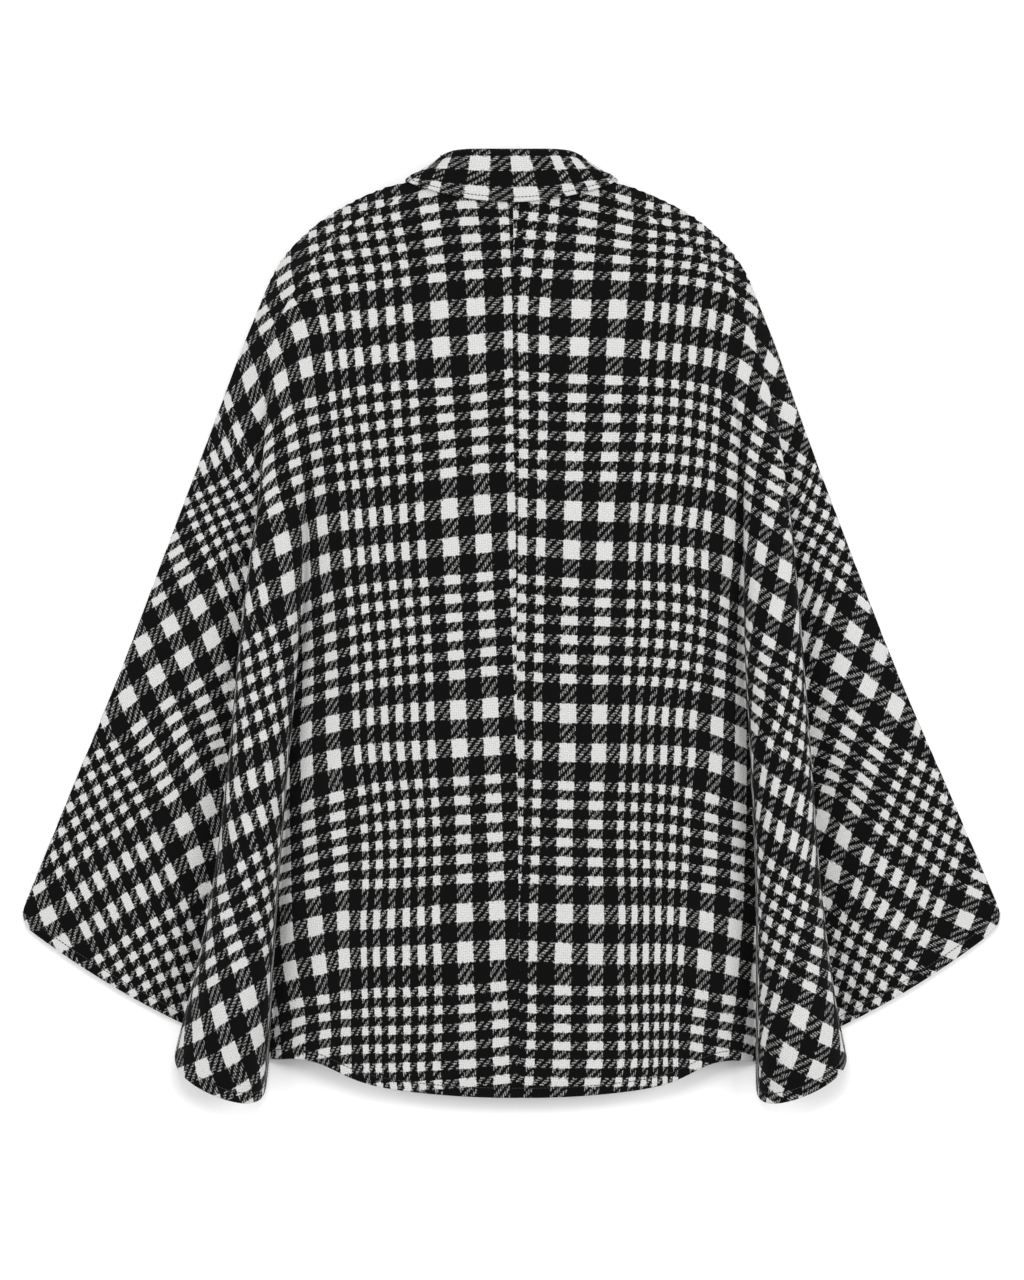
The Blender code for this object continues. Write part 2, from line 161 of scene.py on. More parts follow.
LEFT_CROSSINGS = {
    -42: ((-10, 503, 206), (4, 466.7, 205.4), (20, 429.8, 209.8), (34, 396, 217.5)),
    -18: (
        (-10, 506, 254.6), (20, 435.6, 260.4), (50, 369.6, 269.4), (74, 314.8, 277.5), (88, 287.5, 293.3),
    ),
    4: (
        (-10, 508, 306), (20, 439.5, 311), (50, 373.5, 318.8), (74, 324.5, 325), (88, 300.4, 330.4),
        (104, 273.6, 351.8), (120, 250.4, 377.5), (134, 227.8, 401.8),
    ),
    20: (
        (-10, 508.6, 340), (20, 441.3, 347.5), (50, 376.5, 355.5), (74, 328.9, 362), (88, 306.9, 368),
        (104, 281.4, 381), (120, 260.9, 410.7), (134, 237.7, 430.7), (158, 203, 468),
    ),
    34: (
        (4, 477.9, 380), (20, 443.8, 383.8), (74, 332.6, 397.5), (88, 311.3, 403.4), (104, 287.6, 412.7),
        (120, 267.5, 431), (134, 250.7, 462.5),
    ),
    50: ((20, 446, 418.3), (74, 336, 433), (88, 315, 437.9), (104, 293.7, 447.1), (120, 267.5, 462)),
    74: (
        (4, 480.8, 469), (20, 448.7, 473.3), (74, 341.9, 486.4), (88, 319.8, 490.6), (104, 301.9, 498.7),
        (120, 276, 509.3), (158, 235.5, 547.7), (174, 211.4, 563), (188, 186, 580),
    ),
    88: (
        (-10, 511.4, 503), (20, 449.6, 509.3), (50, 387.9, 515.6), (74, 345, 521.4), (88, 321.9, 526),
        (104, 304.6, 534), (120, 283, 544), (134, 256.4, 558.8), (166, 234.5, 582.3), (188, 198, 606.5),
        (220, 143.5, 643.8),
    ),
    104: (
        (-10, 512, 540.4), (20, 451.3, 547), (50, 390.2, 552.8), (74, 347.5, 558.2), (88, 324.4, 563.8),
        (104, 306.2, 571.5), (120, 289, 582.5), (134, 264.3, 593.8), (150, 243.3, 611), (174, 233.8, 621),
        (188, 211, 638.5), (204, 184.2, 657.7), (236, 127, 697.7),
    ),
    118: (
        (120, 293, 619.6), (134, 272.7, 630.4), (150, 246, 645.4), (188, 222.7, 668.5), (250, 114, 745.4),
    ),
    134: ((4, 486.5, 615.2), (134, 280.6, 665), (150, 251, 679), (204, 208.5, 716.5), (236, 153, 756)),
    158: (
        (4, 489.2, 671), (134, 286.8, 721.5), (150, 263.8, 735.4), (204, 221.5, 758.8), (236, 171, 797.3),
        (250, 145, 813), (274, 102, 842.5), (298, 59, 872.5), (312, 39.5, 888),
    ),
    172: (
        (4, 490.4, 708.2), (20, 458.5, 710), (50, 399.6, 713.2), (74, 356.7, 718.8), (88, 333, 723.8),
        (104, 305.7, 731.7), (142, 282.7, 764), (158, 253, 779), (174, 228, 793.8), (220, 208.8, 806),
        (236, 184.5, 825), (250, 156.7, 842.5), (274, 113.3, 870.8), (298, 71.7, 900.8), (312, 48, 916.3),
    ),
    188: (
        (4, 491.7, 745.8), (20, 460, 747.7), (50, 401, 751), (74, 358.2, 754), (88, 334.6, 758.5),
        (104, 306.7, 766), (150, 276, 807), (158, 263, 815), (166, 247.5, 822), (174, 232.5, 830),
        (236, 195, 857), (250, 170.3, 873.3), (274, 127.2, 902), (298, 85.8, 930), (312, 61.7, 943),
    ),
    202: (
        (88, 337, 797), (104, 307.5, 806.5), (158, 271, 849), (174, 242, 866), (188, 221, 880),
        (236, 204.5, 888), (250, 183.5, 906), (274, 140, 932), (298, 99, 959),
    ),
    226: (
        (88, 340.5, 850), (104, 311, 858), (120, 285, 868), (166, 269.5, 907), (188, 230.5, 930),
        (204, 210, 944),
    ),
    242: (
        (88, 342.5, 885), (104, 313, 893), (120, 285.3, 899), (174, 266.5, 950), (188, 240, 963),
        (204, 213, 980), (274, 172, 1010),
    ),
    256: (
        (4, 497, 910), (20, 465, 912), (34, 436, 914), (50, 406.5, 917), (74, 363.5, 920), (88, 344, 920),
        (104, 316, 926), (120, 286.5, 934), (188, 250, 998), (204, 220, 1013), (220, 198.5, 1030),
    ),
    272: (
        (4, 497.5, 949), (20, 465.5, 951), (50, 406.5, 954.5), (74, 364, 956), (88, 344.8, 957),
        (104, 320, 964), (120, 290, 970), (188, 259, 1035), (204, 231.5, 1053), (220, 203.5, 1067),
    ),
    286: (
        (4, 498.5, 986), (20, 466.5, 989), (50, 407, 991.5), (74, 365, 993), (104, 324, 999),
        (204, 245, 1086),
    ),
    302: (
        (4, 500.5, 1023), (20, 467.5, 1026), (50, 407.5, 1029), (88, 346, 1031), (104, 326.5, 1033),
        (120, 299, 1040),
    ),
    318: ((4, 501, 1060), (20, 468, 1063), (34, 437, 1065), (66, 379, 1067), (88, 346.5, 1068)),
}
RIGHT_CROSSINGS = {
    -42: ((4, 588.8, 207.5), (20, 625.4, 215.4), (34, 654, 221), (50, 685.4, 225.4)),
    -10: ((4, 583.2, 276), (20, 620.3, 277), (34, 651, 279), (50, 683, 281), (74, 732.3, 293)),
    4: (
        (-18, 522.9, 306.3), (4, 581.3, 310), (20, 617.5, 310), (34, 648.7, 312), (50, 680, 316),
        (74, 726.7, 325.4), (88, 751, 339), (104, 771.5, 365),
    ),
    20: (
        (-18, 523, 343.7), (4, 579.6, 347.5), (20, 615, 348.3), (34, 645.4, 350.4), (50, 676.3, 353.8),
        (74, 722, 361.7), (88, 743.8, 371.4), (104, 765.4, 393.4), (120, 788.5, 413.5),
    ),
    34: ((88, 738, 406), (104, 759, 424), (120, 782.6, 443.9), (136, 802, 459.5), (150, 813.2, 468.3)),
    50: (
        (88, 735, 441), (104, 752.5, 456), (120, 777.2, 472.8), (136, 795, 489.5), (150, 802.8, 497.5),
        (158, 812.8, 506.2), (166, 825.8, 515),
    ),
    74: (
        (88, 731.8, 493), (104, 746, 505), (120, 767, 521), (136, 789.8, 537.8), (166, 806, 558),
        (174, 815.8, 566), (190, 841.4, 585),
    ),
    88: (
        (-18, 522.5, 508), (4, 572.9, 511.3), (20, 606.1, 512.3), (34, 634.1, 513), (50, 662.9, 514.8),
        (74, 706.8, 521.8), (88, 729.9, 529), (104, 744.6, 540), (120, 760, 553.5), (136, 785, 571),
        (166, 798.5, 588), (174, 807.6, 597), (190, 829, 614.6), (204, 853.5, 634), (220, 880.5, 653),
    ),
    104: (
        (-18, 522.3, 545.8), (4, 571.6, 550), (20, 604.2, 551.3), (34, 632.1, 551.8), (50, 660.8, 553.7),
        (74, 704.2, 559.6), (88, 727.7, 566.7), (104, 743.8, 577.5), (120, 753.3, 590), (136, 776.3, 607.5),
        (150, 797.2, 622), (190, 817.5, 648), (204, 841, 665), (220, 868.5, 687), (236, 896, 706),
    ),
    118: (
        (88, 724.8, 602.9), (104, 743.3, 612.5), (136, 768, 642), (150, 791.3, 657), (204, 828.5, 696),
        (220, 855.5, 717), (236, 883, 739), (250, 908, 757),
    ),
    134: ((88, 722, 638.8), (104, 742, 649), (136, 760, 675), (150, 784.5, 692), (158, 795.5, 703)),
    158: (
        (88, 718.8, 692), (104, 740.8, 701), (136, 754, 727), (150, 769.5, 743), (158, 783.5, 754),
        (166, 797.5, 763), (220, 828, 790), (236, 853.5, 808.5), (250, 879, 829),
    ),
    172: (
        (-18, 520, 710), (4, 568.1, 713.5), (20, 599.4, 714.3), (34, 625, 714.2), (50, 651.1, 715.4),
        (74, 692.7, 719.8), (88, 717.1, 726.7), (104, 740.8, 737.5), (150, 763, 777), (158, 774, 787),
        (166, 788.5, 795), (174, 800, 805), (182, 810, 812), (220, 823, 820), (236, 843, 837),
        (250, 867, 855.5), (274, 911, 888), (290, 938.5, 908), (304, 965, 920),
    ),
    188: (
        (-18, 520.4, 749), (4, 567.3, 752.5), (20, 598.8, 753), (50, 649.8, 754), (74, 691.5, 757),
        (88, 715.4, 762), (104, 740.5, 773), (150, 758, 810), (158, 766.5, 820), (174, 793.5, 840),
        (190, 813.5, 856), (236, 833, 872), (250, 857, 888), (274, 897.5, 920), (290, 925.5, 939),
        (304, 952, 950),
    ),
    202: (
        (88, 711.5, 799), (104, 740, 808), (166, 770, 864), (182, 796, 881), (190, 808.5, 889),
        (236, 826, 902), (250, 843, 918), (266, 869, 937), (282, 897.5, 955), (290, 912, 965),
    ),
    226: ((174, 768, 920), (190, 794, 938), (204, 816, 951), (258, 840, 974), (274, 864, 992)),
    242: ((88, 707.5, 888), (104, 737, 894), (190, 783.5, 971), (204, 809, 985), (266, 842, 1014)),
    256: (
        (-10, 533, 912), (4, 565, 913), (20, 596, 914), (34, 622, 914), (50, 646, 914), (74, 682.5, 916),
        (88, 706, 921), (104, 735, 929), (190, 774, 1002), (204, 799, 1015), (220, 826, 1035),
    ),
    272: (
        (-10, 532.5, 950), (20, 595.5, 953), (50, 645.5, 953), (74, 680.5, 954), (88, 704, 959),
        (104, 732, 965.5), (190, 763.5, 1036), (204, 787.5, 1055), (220, 816, 1069),
    ),
    286: (
        (-10, 532, 989), (20, 595.5, 990.5), (50, 645.5, 989), (74, 679, 989.5), (88, 701, 994.5),
        (104, 729, 1000), (204, 775, 1087),
    ),
    302: (
        (-10, 531.5, 1026), (20, 595, 1027), (50, 646, 1026), (74, 676, 1026), (88, 696.5, 1029),
        (104, 724.5, 1034.5), (120, 750, 1040),
    ),
    318: ((-10, 530, 1062), (4, 561, 1063), (20, 594.5, 1063), (50, 645.5, 1062), (74, 675, 1061)),
}
END_BANDS = {
    "LEFT": (
        Band(-332, -300, 16), Band(-300, -244, 8), Band(-240, -184, 16), Band(-176, -128, 8),
        Band(-124, -80, 16), Band(-76, -28, 8), Band(-24, 4, 16), Band(8, 52, 8),
    ),
    "RIGHT": (
        Band(-52, -4, 8), Band(0, 28, 16), Band(32, 80, 8), Band(84, 144, 16), Band(148, 196, 8),
        Band(200, 244, 16), Band(248, 296, 8), Band(300, 340, 16),
    ),
}
PICK_BANDS = (Band(0, 28, 16), Band(32, 80, 8))


def hermite(share: Array, first: Array, last: Array, start: Array, end: Array) -> Array:
    """Read cubic curves by the values and slopes at their ends.

    Args:
        share: Part of the way along each curve, from 0 to 1.
        first: Values at the start.
        last: Values at the end.
        start: Slopes at the start, over the whole curve.
        end: Slopes at the end.

    Returns:
        The curves' values.
    """
    even = (1.0 + 2.0 * share) * (1.0 - share) ** 2 * first + share**2 * (3.0 - 2.0 * share) * last
    return even + share * (1.0 - share) ** 2 * start + share**2 * (share - 1.0) * end


def column(table: Sequence[NamedTuple], name: str, down: Array) -> Array:
    """Read a column of a table as a smooth curve that never overshoots its rows.

    Args:
        table: Rows with a field named down.
        name: The field to read.
        down: Where to read it.

    Returns:
        The field's values at those places.
    """
    rows = np.array([row.down for row in table])
    values = np.array([getattr(row, name) for row in table])
    steps = np.diff(values) / np.diff(rows)
    slopes = np.zeros_like(values)
    slopes[0], slopes[-1] = steps[0], steps[-1]
    same_way = steps[:-1] * steps[1:] > 0.0
    safe = np.where(same_way, steps[:-1] + steps[1:], 1.0)
    slopes[1:-1] = np.where(same_way, 2.0 * steps[:-1] * steps[1:] / safe, 0.0)
    place = np.clip(np.searchsorted(rows, down, side="right") - 1, 0, len(rows) - 2)
    width = rows[place + 1] - rows[place]
    share = (down - rows[place]) / width
    return hermite(share, values[place], values[place + 1], width * slopes[place], width * slopes[place + 1])


def ease(share: Array) -> Array:
    """Quarter sine from 0 to 1."""
    return np.sin(0.5 * math.pi * np.clip(share, 0.0, 1.0))


def smooth_step(share: Array) -> Array:
    """Soft step from 0 to 1, level at both ends."""
    share = np.clip(share, 0.0, 1.0)
    return share * share * (3.0 - 2.0 * share)


def unit(vectors: Array) -> Array:
    """Vectors along the last axis at length 1."""
    return vectors / np.maximum(np.linalg.norm(vectors, axis=-1), 1e-9)[..., None]


def running_sum(steps: Array, axis: int) -> Array:
    """Sums of steps from the first point on, which stands at 0."""
    total = np.cumsum(steps, axis=axis)
    return np.concatenate([np.zeros_like(total.take([0], axis=axis)), total], axis=axis)


def finer_grid(points: Array, times: int) -> Array:
    """Put more rows in a grid of points, on smooth curves through the ones it has.

    Args:
        points: Rows by columns by 3.
        times: How many rows take the place of each one.

    Returns:
        The finer grid.
    """
    slopes = np.gradient(points, axis=0)
    share = np.arange(times)[None, :, None, None] / times
    rows = hermite(share, points[:-1, None], points[1:, None], slopes[:-1, None], slopes[1:, None])
    return np.concatenate([rows.reshape(-1, *points.shape[1:]), points[-1:]])


class BentPlate:
    """The smoothest surfaces through some marks: they give the thread numbers at any place on the cloth."""

    UNIT = 100.0

    def __init__(self, places: Array, values: Array, stiffness: float) -> None:
        """Fit the surfaces to the marks.

        Args:
            places: Where the marks are, marks by 2.
            values: What the surfaces say there, marks by surfaces.
            stiffness: How far the surfaces may pass the marks by, so as to stay smooth.
        """
        self.places = places / self.UNIT
        count = len(places)
        plain = np.column_stack([np.ones(count), self.places])
        matrix = np.zeros((count + 3, count + 3))
        matrix[:count, :count] = self.bend(self.places) + stiffness * np.eye(count)
        matrix[:count, count:] = plain
        matrix[count:, :count] = plain.T
        self.weights = np.linalg.solve(matrix, np.concatenate([values, np.zeros((3, values.shape[1]))]))

    def bend(self, points: Array) -> Array:
        """How much each mark's bend is felt at each point."""
        gap = np.linalg.norm(points[:, None, :] - self.places[None, :, :], axis=-1)
        return gap**2 * np.log(np.maximum(gap, 1e-9))

    def read(self, x: Array, y: Array) -> Array:
        """Read the surfaces.

        Args:
            x: First coordinate of each place.
            y: Second coordinate, in an array of the same shape.

        Returns:
            The surfaces' values along one more axis.
        """
        points = np.column_stack([x.ravel(), y.ravel()]) / self.UNIT
        plain = np.column_stack([np.ones(len(points)), points])
        return (self.bend(points) @ self.weights[:-3] + plain @ self.weights[-3:]).reshape(*x.shape, -1)


class Side(Enum):
    """The two halves of the cape, with the direction of each along X."""

    LEFT = -1
    RIGHT = 1


@dataclass(frozen=True)
class HalfShape:
    """One half of the cape, seen as if it were the right half: x is the distance from the middle."""

    side: Side
    rows: Sequence[Row]
    fold_drop: float
    centre_top_x: float = 1.4
    centre_hem_x: float = 7.7
    groove_depth: float = 2.0
    groove_width: float = 3.6
    fold_hem_power: float = 0.3
    valley_width: float = 54.0
    fold_fullness: float = 0.78
    valley_hem_lift: float = 0.012
    valley_hem_centre: float = 39.0
    valley_hem_spread: float = 32.0
    valley_fade: float = 0.1
    row_power: float = 2.2
    wing_rise_width: float = 46.0
    tip_radius: float = 15.0
    tip_across: float = 2.97
    tip_down: float = 0.99
    edge_rounding: float = 34.0
    opening_x: float = 1.4
    opening_gap: float = 1.5
    front_neck_y: float = 315.0
    front_hem_y: float = -396.0
    front_side_share: float = 0.985
    collar_reach: float = 48.0
    collar_fade: float = 24.0
    fall_lift: float = 1.6
    outline_points: int = 90
    halvings: int = 24

    def placed(self, x: Array, y: Array, z: Array) -> Array:
        """Points on their own side of the cape, with x, y and z along the last axis."""
        return np.stack([self.side.value * x, y, z], axis=-1)

    def edge(self, down: Array) -> tuple[Array, Array]:
        """Where rows meet the outline."""
        return column(self.rows, "edge_x", down), column(self.rows, "edge_y", down)

    def outline(self) -> Array:
        """Points of the side outline in plan."""
        return np.stack(self.edge(np.linspace(0.0, self.rows[-1].down, self.outline_points)), axis=1)

    def centre_x(self, down: Array) -> Array:
        """The centre back seam, as a distance on this side."""
        return self.side.value * (self.centre_top_x + (self.centre_hem_x - self.centre_top_x) * down)

    def edge_distance(self, x: Array, y: Array) -> Array:
        """Measure how far points are from the side outline in plan.

        Args:
            x: The points' distance from the middle.
            y: The points' y.

        Returns:
            The distance of each point.
        """
        line = self.outline()
        start, run = line[:-1], np.diff(line, axis=0)
        nearest = np.full(np.shape(x), np.inf)
        for (from_x, from_y), (run_x, run_y) in zip(start, run):
            along = ((x - from_x) * run_x + (y - from_y) * run_y) / (run_x**2 + run_y**2)
            along = np.clip(along, 0.0, 1.0)
            gap = np.hypot(x - from_x - along * run_x, y - from_y - along * run_y)
            nearest = np.minimum(nearest, gap)
        return nearest

    def row_y(self, x: Array, centre_x: Array, centre_y: Array, edge_x: Array, edge_y: Array) -> Array:
        """A row drops from the outline to the centre in one even curve, as the hem does."""
        share = np.clip((x - centre_x) / (edge_x - centre_x), 0.0, None)
        return centre_y + (edge_y - centre_y) * share**self.row_power

    def round_edge(self, x: Array, y: Array, z: Array, down: Array) -> Array:
        """Bend the back down to the side seam, where it meets the front's edge a seam gap away.

        Args:
            x: The points' distance from the middle.
            y: The points' y.
            z: Their height without the bend.
            down: The rows that they are on.

        Returns:
            Their height.
        """
        near = np.clip(1.0 - self.edge_distance(x, y) / self.edge_rounding, 0.0, 1.0)
        lift = column(RELIEF, "lift", down)
        back_slope = 2.0 * (z - lift - 2.0 * CLOTH) / self.edge_rounding
        front_slope = 2.0 * lift / self.edge_rounding
        walls = 1.0 / np.sqrt(1.0 + back_slope**2) + 1.0 / np.sqrt(1.0 + front_slope**2)
        edge_z = lift + CLOTH * walls + SEAM_GAP
        return z + (edge_z - z) * near**2

    def back(self, across: Array, down: Array) -> tuple[Array, Array, Array]:
        """Outer side of the half back.

        Args:
            across: 0 at the centre seam, 1 and 2 at the fold's creases, 3 at the outline.
            down: 0 at the neck, 1 at the hem.

        Returns:
            x as a distance from the middle, y and z.
        """
        across, down = np.broadcast_arrays(np.asarray(across, float), np.asarray(down, float))
        turn = math.pi * np.clip(across - 1.0, 0.0, 1.0)
        rise = np.clip(np.sin(turn), 0.0, 1.0)
        crease = column(self.rows, "crease_in", down)
        from_valley = crease * np.clip(1.0 - across, 0.0, 1.0) - self.valley_hem_centre
        lifted = self.valley_hem_lift * down**2 * np.exp(-((from_valley / self.valley_hem_spread) ** 2))
        lifted = lifted * ease((1.0 - across) / self.valley_fade)
        hang = down * (1.0 + self.fold_drop * rise**self.fold_hem_power - lifted)
        centre_x = self.centre_x(hang) + 0.5 * SEAM_GAP
        inner, outer = column(self.rows, "crease_in", hang), column(self.rows, "crease_out", hang)
        edge_x, edge_y = self.edge(hang)
        centre_y = column(self.rows, "centre_y", hang)
        middle_x = centre_x + (inner - centre_x) * np.clip(across, 0.0, 1.0)
        fold_share = 0.5 * (1.0 - np.cos(turn))
        fold_x = inner + (outer - inner) * fold_share
        wing_x = outer + (edge_x - outer) * np.clip(across - 2.0, 0.0, 1.0)
        x = np.where(across <= 1.0, middle_x, np.where(across <= 2.0, fold_x, wing_x))
        y = self.row_y(x, centre_x, centre_y, edge_x, edge_y)
        valley, foot = column(RELIEF, "valley", hang), column(RELIEF, "foot", hang)
        middle_rise = column(RELIEF, "centre", hang) - valley
        middle_z = valley + middle_rise * ease((inner - x) / self.valley_width)
        middle_z = middle_z - self.groove_depth * np.exp(-(((x - centre_x) / self.groove_width) ** 2))
        fold_rise = column(RELIEF, "fold", hang) * rise**self.fold_fullness
        fold_z = valley + (foot - valley) * fold_share + fold_rise
        wing_z = foot + (column(RELIEF, "wing", hang) - foot) * ease((x - outer) / self.wing_rise_width)
        z = np.where(across <= 1.0, middle_z, np.where(across <= 2.0, fold_z, wing_z))
        return x, y, self.round_edge(x, y, z, hang)

    def round_tip(self, x: Array, y: Array) -> tuple[Array, Array]:
        """Round the tip where the side edge meets the hem.

        Args:
            x: The points' distance from the middle.
            y: The points' y.

        Returns:
            The same points, those near the tip drawn in.
        """
        tip_x, tip_y, _ = self.back([3.0, self.tip_across, 3.0], [1.0, 1.0, self.tip_down])
        edges = unit(np.stack([tip_x[1:] - tip_x[0], tip_y[1:] - tip_y[0]], axis=1))
        along = np.stack([x - tip_x[0], y - tip_y[0]], axis=-1) @ np.linalg.inv(edges)
        share = np.prod(np.clip(1.0 - along / self.tip_radius, 0.0, 1.0) ** 2, axis=-1)
        drawn = 0.25 * self.tip_radius * edges.sum(axis=0)
        return x + drawn[0] * share, y + drawn[1] * share

    def front_row(self, down: Array) -> tuple[Array, Array, Array, Array]:
        """Find the ends of rows of the front.

        Args:
            down: The rows.

        Returns:
            x and y at the opening, then at the outline.
        """
        centre_x = self.side.value * self.opening_x + 0.5 * self.opening_gap
        centre_y = self.front_neck_y + (self.front_hem_y - self.front_neck_y) * down
        return centre_x, centre_y, *self.edge(down * self.front_side_share)

    def back_row(self, down: Array) -> tuple[Array, Array, Array, Array]:
        """Ends of rows of the back: x and y at the centre seam, then at the outline."""
        centre_x = self.centre_x(down) + 0.5 * SEAM_GAP
        return centre_x, column(self.rows, "centre_y", down), *self.edge(down)

    def front_height(self, x: Array, y: Array, down: Array) -> Array:
        """Lay the front's outer side on the surface, over the collar, and up at the outline.

        Args:
            x: The points' distance from the middle.
            y: The points' y.
            down: The rows that they are on.

        Returns:
            Their height.
        """
        near = np.clip(1.0 - self.edge_distance(x, y) / self.edge_rounding, 0.0, 1.0)
        reach = down * (self.front_neck_y - self.front_hem_y)
        over_collar = smooth_step(1.0 - (reach - self.collar_reach) / self.collar_fade)
        over_collar = (CLOTH + self.fall_lift) * over_collar
        lift = np.maximum(column(RELIEF, "lift", down * self.front_side_share), over_collar)
        return over_collar + (lift - over_collar) * near**2

    def front(self, across: Array, down: Array) -> tuple[Array, Array, Array]:
        """Outer side of the half front, which faces the surface.

        Args:
            across: 0 at the opening, 1 at the outline.
            down: 0 at the neck, 1 at the hem.

        Returns:
            x as a distance from the middle, y and z.
        """
        across, down = np.broadcast_arrays(np.asarray(across, float), np.asarray(down, float))
        centre_x, centre_y, edge_x, edge_y = self.front_row(down)
        x = centre_x + (edge_x - centre_x) * across
        y = self.row_y(x, centre_x, centre_y, edge_x, edge_y)
        return x, y, self.front_height(x, y, down)

    def down_at(self, back: bool, x: Array, y: Array) -> Array:
        """Find the rows of a panel that pass through points near the neck, by halving.

        Args:
            back: Whether the panel is the back's or the front's.
            x: The points' distance from the middle.
            y: The points' y.

        Returns:
            How far down the rows are.
        """
        row = self.back_row if back else self.front_row
        low, high = np.zeros_like(x), np.ones_like(x)
        for _ in range(self.halvings):
            middle = 0.5 * (low + high)
            above = self.row_y(x, *row(middle)) > y
            low, high = np.where(above, middle, low), np.where(above, high, middle)
        return low


LEFT_SHAPE = HalfShape(Side.LEFT, LEFT_ROWS, fold_drop=0.0585)
RIGHT_SHAPE = HalfShape(Side.RIGHT, RIGHT_ROWS, fold_drop=0.0538, valley_width=66.0, fold_fullness=0.68)


@dataclass(frozen=True)
class ClothPanel:
    """A closed sheet with a wall and rounded edges, made from a grid of points on its outer side."""

    node: str
    slot: str
    thickness: float = CLOTH
    rim_steps: int = 3
    rim_bulge: float = 0.7

    def build(
        self, points: Array, threads: Array, outward: Array, finish: bpy.types.Material
    ) -> bpy.types.Object:
        """Make the sheet, dress it and tie it to the frame.

        Args:
            points: Outer side, rows by columns by 3, in millimetres.
            threads: The UV place of each point, rows by columns by 2.
            outward: A direction that the outer side faces somewhere near the middle of the grid.
            finish: The cloth's material.

        Returns:
            The new object, at the origin, with its place in its mesh.
        """
        normal = unit(np.cross(np.gradient(points, axis=1), np.gradient(points, axis=0)))
        rows, columns = points.shape[:2]
        if np.dot(normal[rows // 2, columns // 2], outward) < 0.0:
            normal = -normal
        inner = points - normal * self.thickness
        border = self.border(rows, columns)
        rim_points, rim_threads = self.rim(points, inner, normal, threads, border)
        corners = np.concatenate([points.reshape(-1, 3), inner.reshape(-1, 3), rim_points])
        places = np.concatenate([threads.reshape(-1, 2), threads.reshape(-1, 2), rim_threads])
        name = self.node + "_cloth"
        mesh = bpy.data.meshes.new(name)
        mesh.from_pydata((corners * MM).tolist(), [], self.faces(rows, columns, border).tolist())
        layer = mesh.uv_layers.new(name="threads")
        loops = np.empty(len(mesh.loops), dtype=np.int32)
        mesh.loops.foreach_get("vertex_index", loops)
        layer.data.foreach_set("uv", places[loops].ravel())
        mesh.shade_smooth()
        if np.dot(np.array(mesh.polygons[0].normal), normal[0, 0]) < 0.0:
            mesh.flip_normals()
        mesh.materials.append(finish)
        piece = add_object(name, mesh)
        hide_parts(self.node)
        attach(piece, "root")
        return piece

    @staticmethod
    def border(rows: int, columns: int) -> Array:
        """Numbers of the grid's outer points, once round."""
        number = np.arange(rows * columns).reshape(rows, columns)
        return np.concatenate([number[0, :-1], number[:-1, -1], number[-1, :0:-1], number[:0:-1, 0]])

    def rim(
        self, points: Array, inner: Array, normal: Array, threads: Array, border: Array
    ) -> tuple[Array, Array]:
        """Round the edge from the outer to the inner side.

        Args:
            points: The outer side's grid.
            inner: The inner side's grid.
            normal: Directions out of the outer side, as a grid.
            threads: The UV places, as a grid.
            border: Numbers of the grid's outer points, once round.

        Returns:
            The edge's points, one ring after another, and their UV places.
        """
        rows, columns = points.shape[:2]
        row, place = border // columns, border % columns
        in_row, in_place = np.clip(row, 1, rows - 2), np.clip(place, 1, columns - 2)
        face = normal[row, place]
        out = points[row, place] - points[in_row, in_place]
        out = unit(out - np.sum(out * face, axis=1)[:, None] * face)
        middle = 0.5 * (points[row, place] + inner[row, place])
        rings = []
        for step in range(1, self.rim_steps + 1):
            angle = math.pi * step / (self.rim_steps + 1)
            bulge = math.cos(angle) * face + self.rim_bulge * math.sin(angle) * out
            rings.append(middle + 0.5 * self.thickness * bulge)
        return np.concatenate(rings), np.tile(threads[row, place], (self.rim_steps, 1))

    def faces(self, rows: int, columns: int, border: Array) -> Array:
        """Join the points of the outer side, the inner side and the edge.

        Args:
            rows: The grid's rows.
            columns: The grid's columns.
            border: Numbers of the grid's outer points, once round.

        Returns:
            Faces by 4 point numbers.
        """
        number = np.arange(rows * columns).reshape(rows, columns)
        outer = np.stack([number[:-1, :-1], number[:-1, 1:], number[1:, 1:], number[1:, :-1]], axis=-1)
        outer = outer.reshape(-1, 4)
        inner = outer[:, ::-1] + rows * columns
        rings = [border]
        for step in range(self.rim_steps):
            rings.append(2 * rows * columns + step * len(border) + np.arange(len(border)))
        rings.append(border + rows * columns)
        strips = []
        for near, far in zip(rings[:-1], rings[1:]):
            strips.append(np.stack([np.roll(near, -1), near, far, np.roll(far, -1)], axis=-1))
        return np.concatenate([outer, inner, *strips])


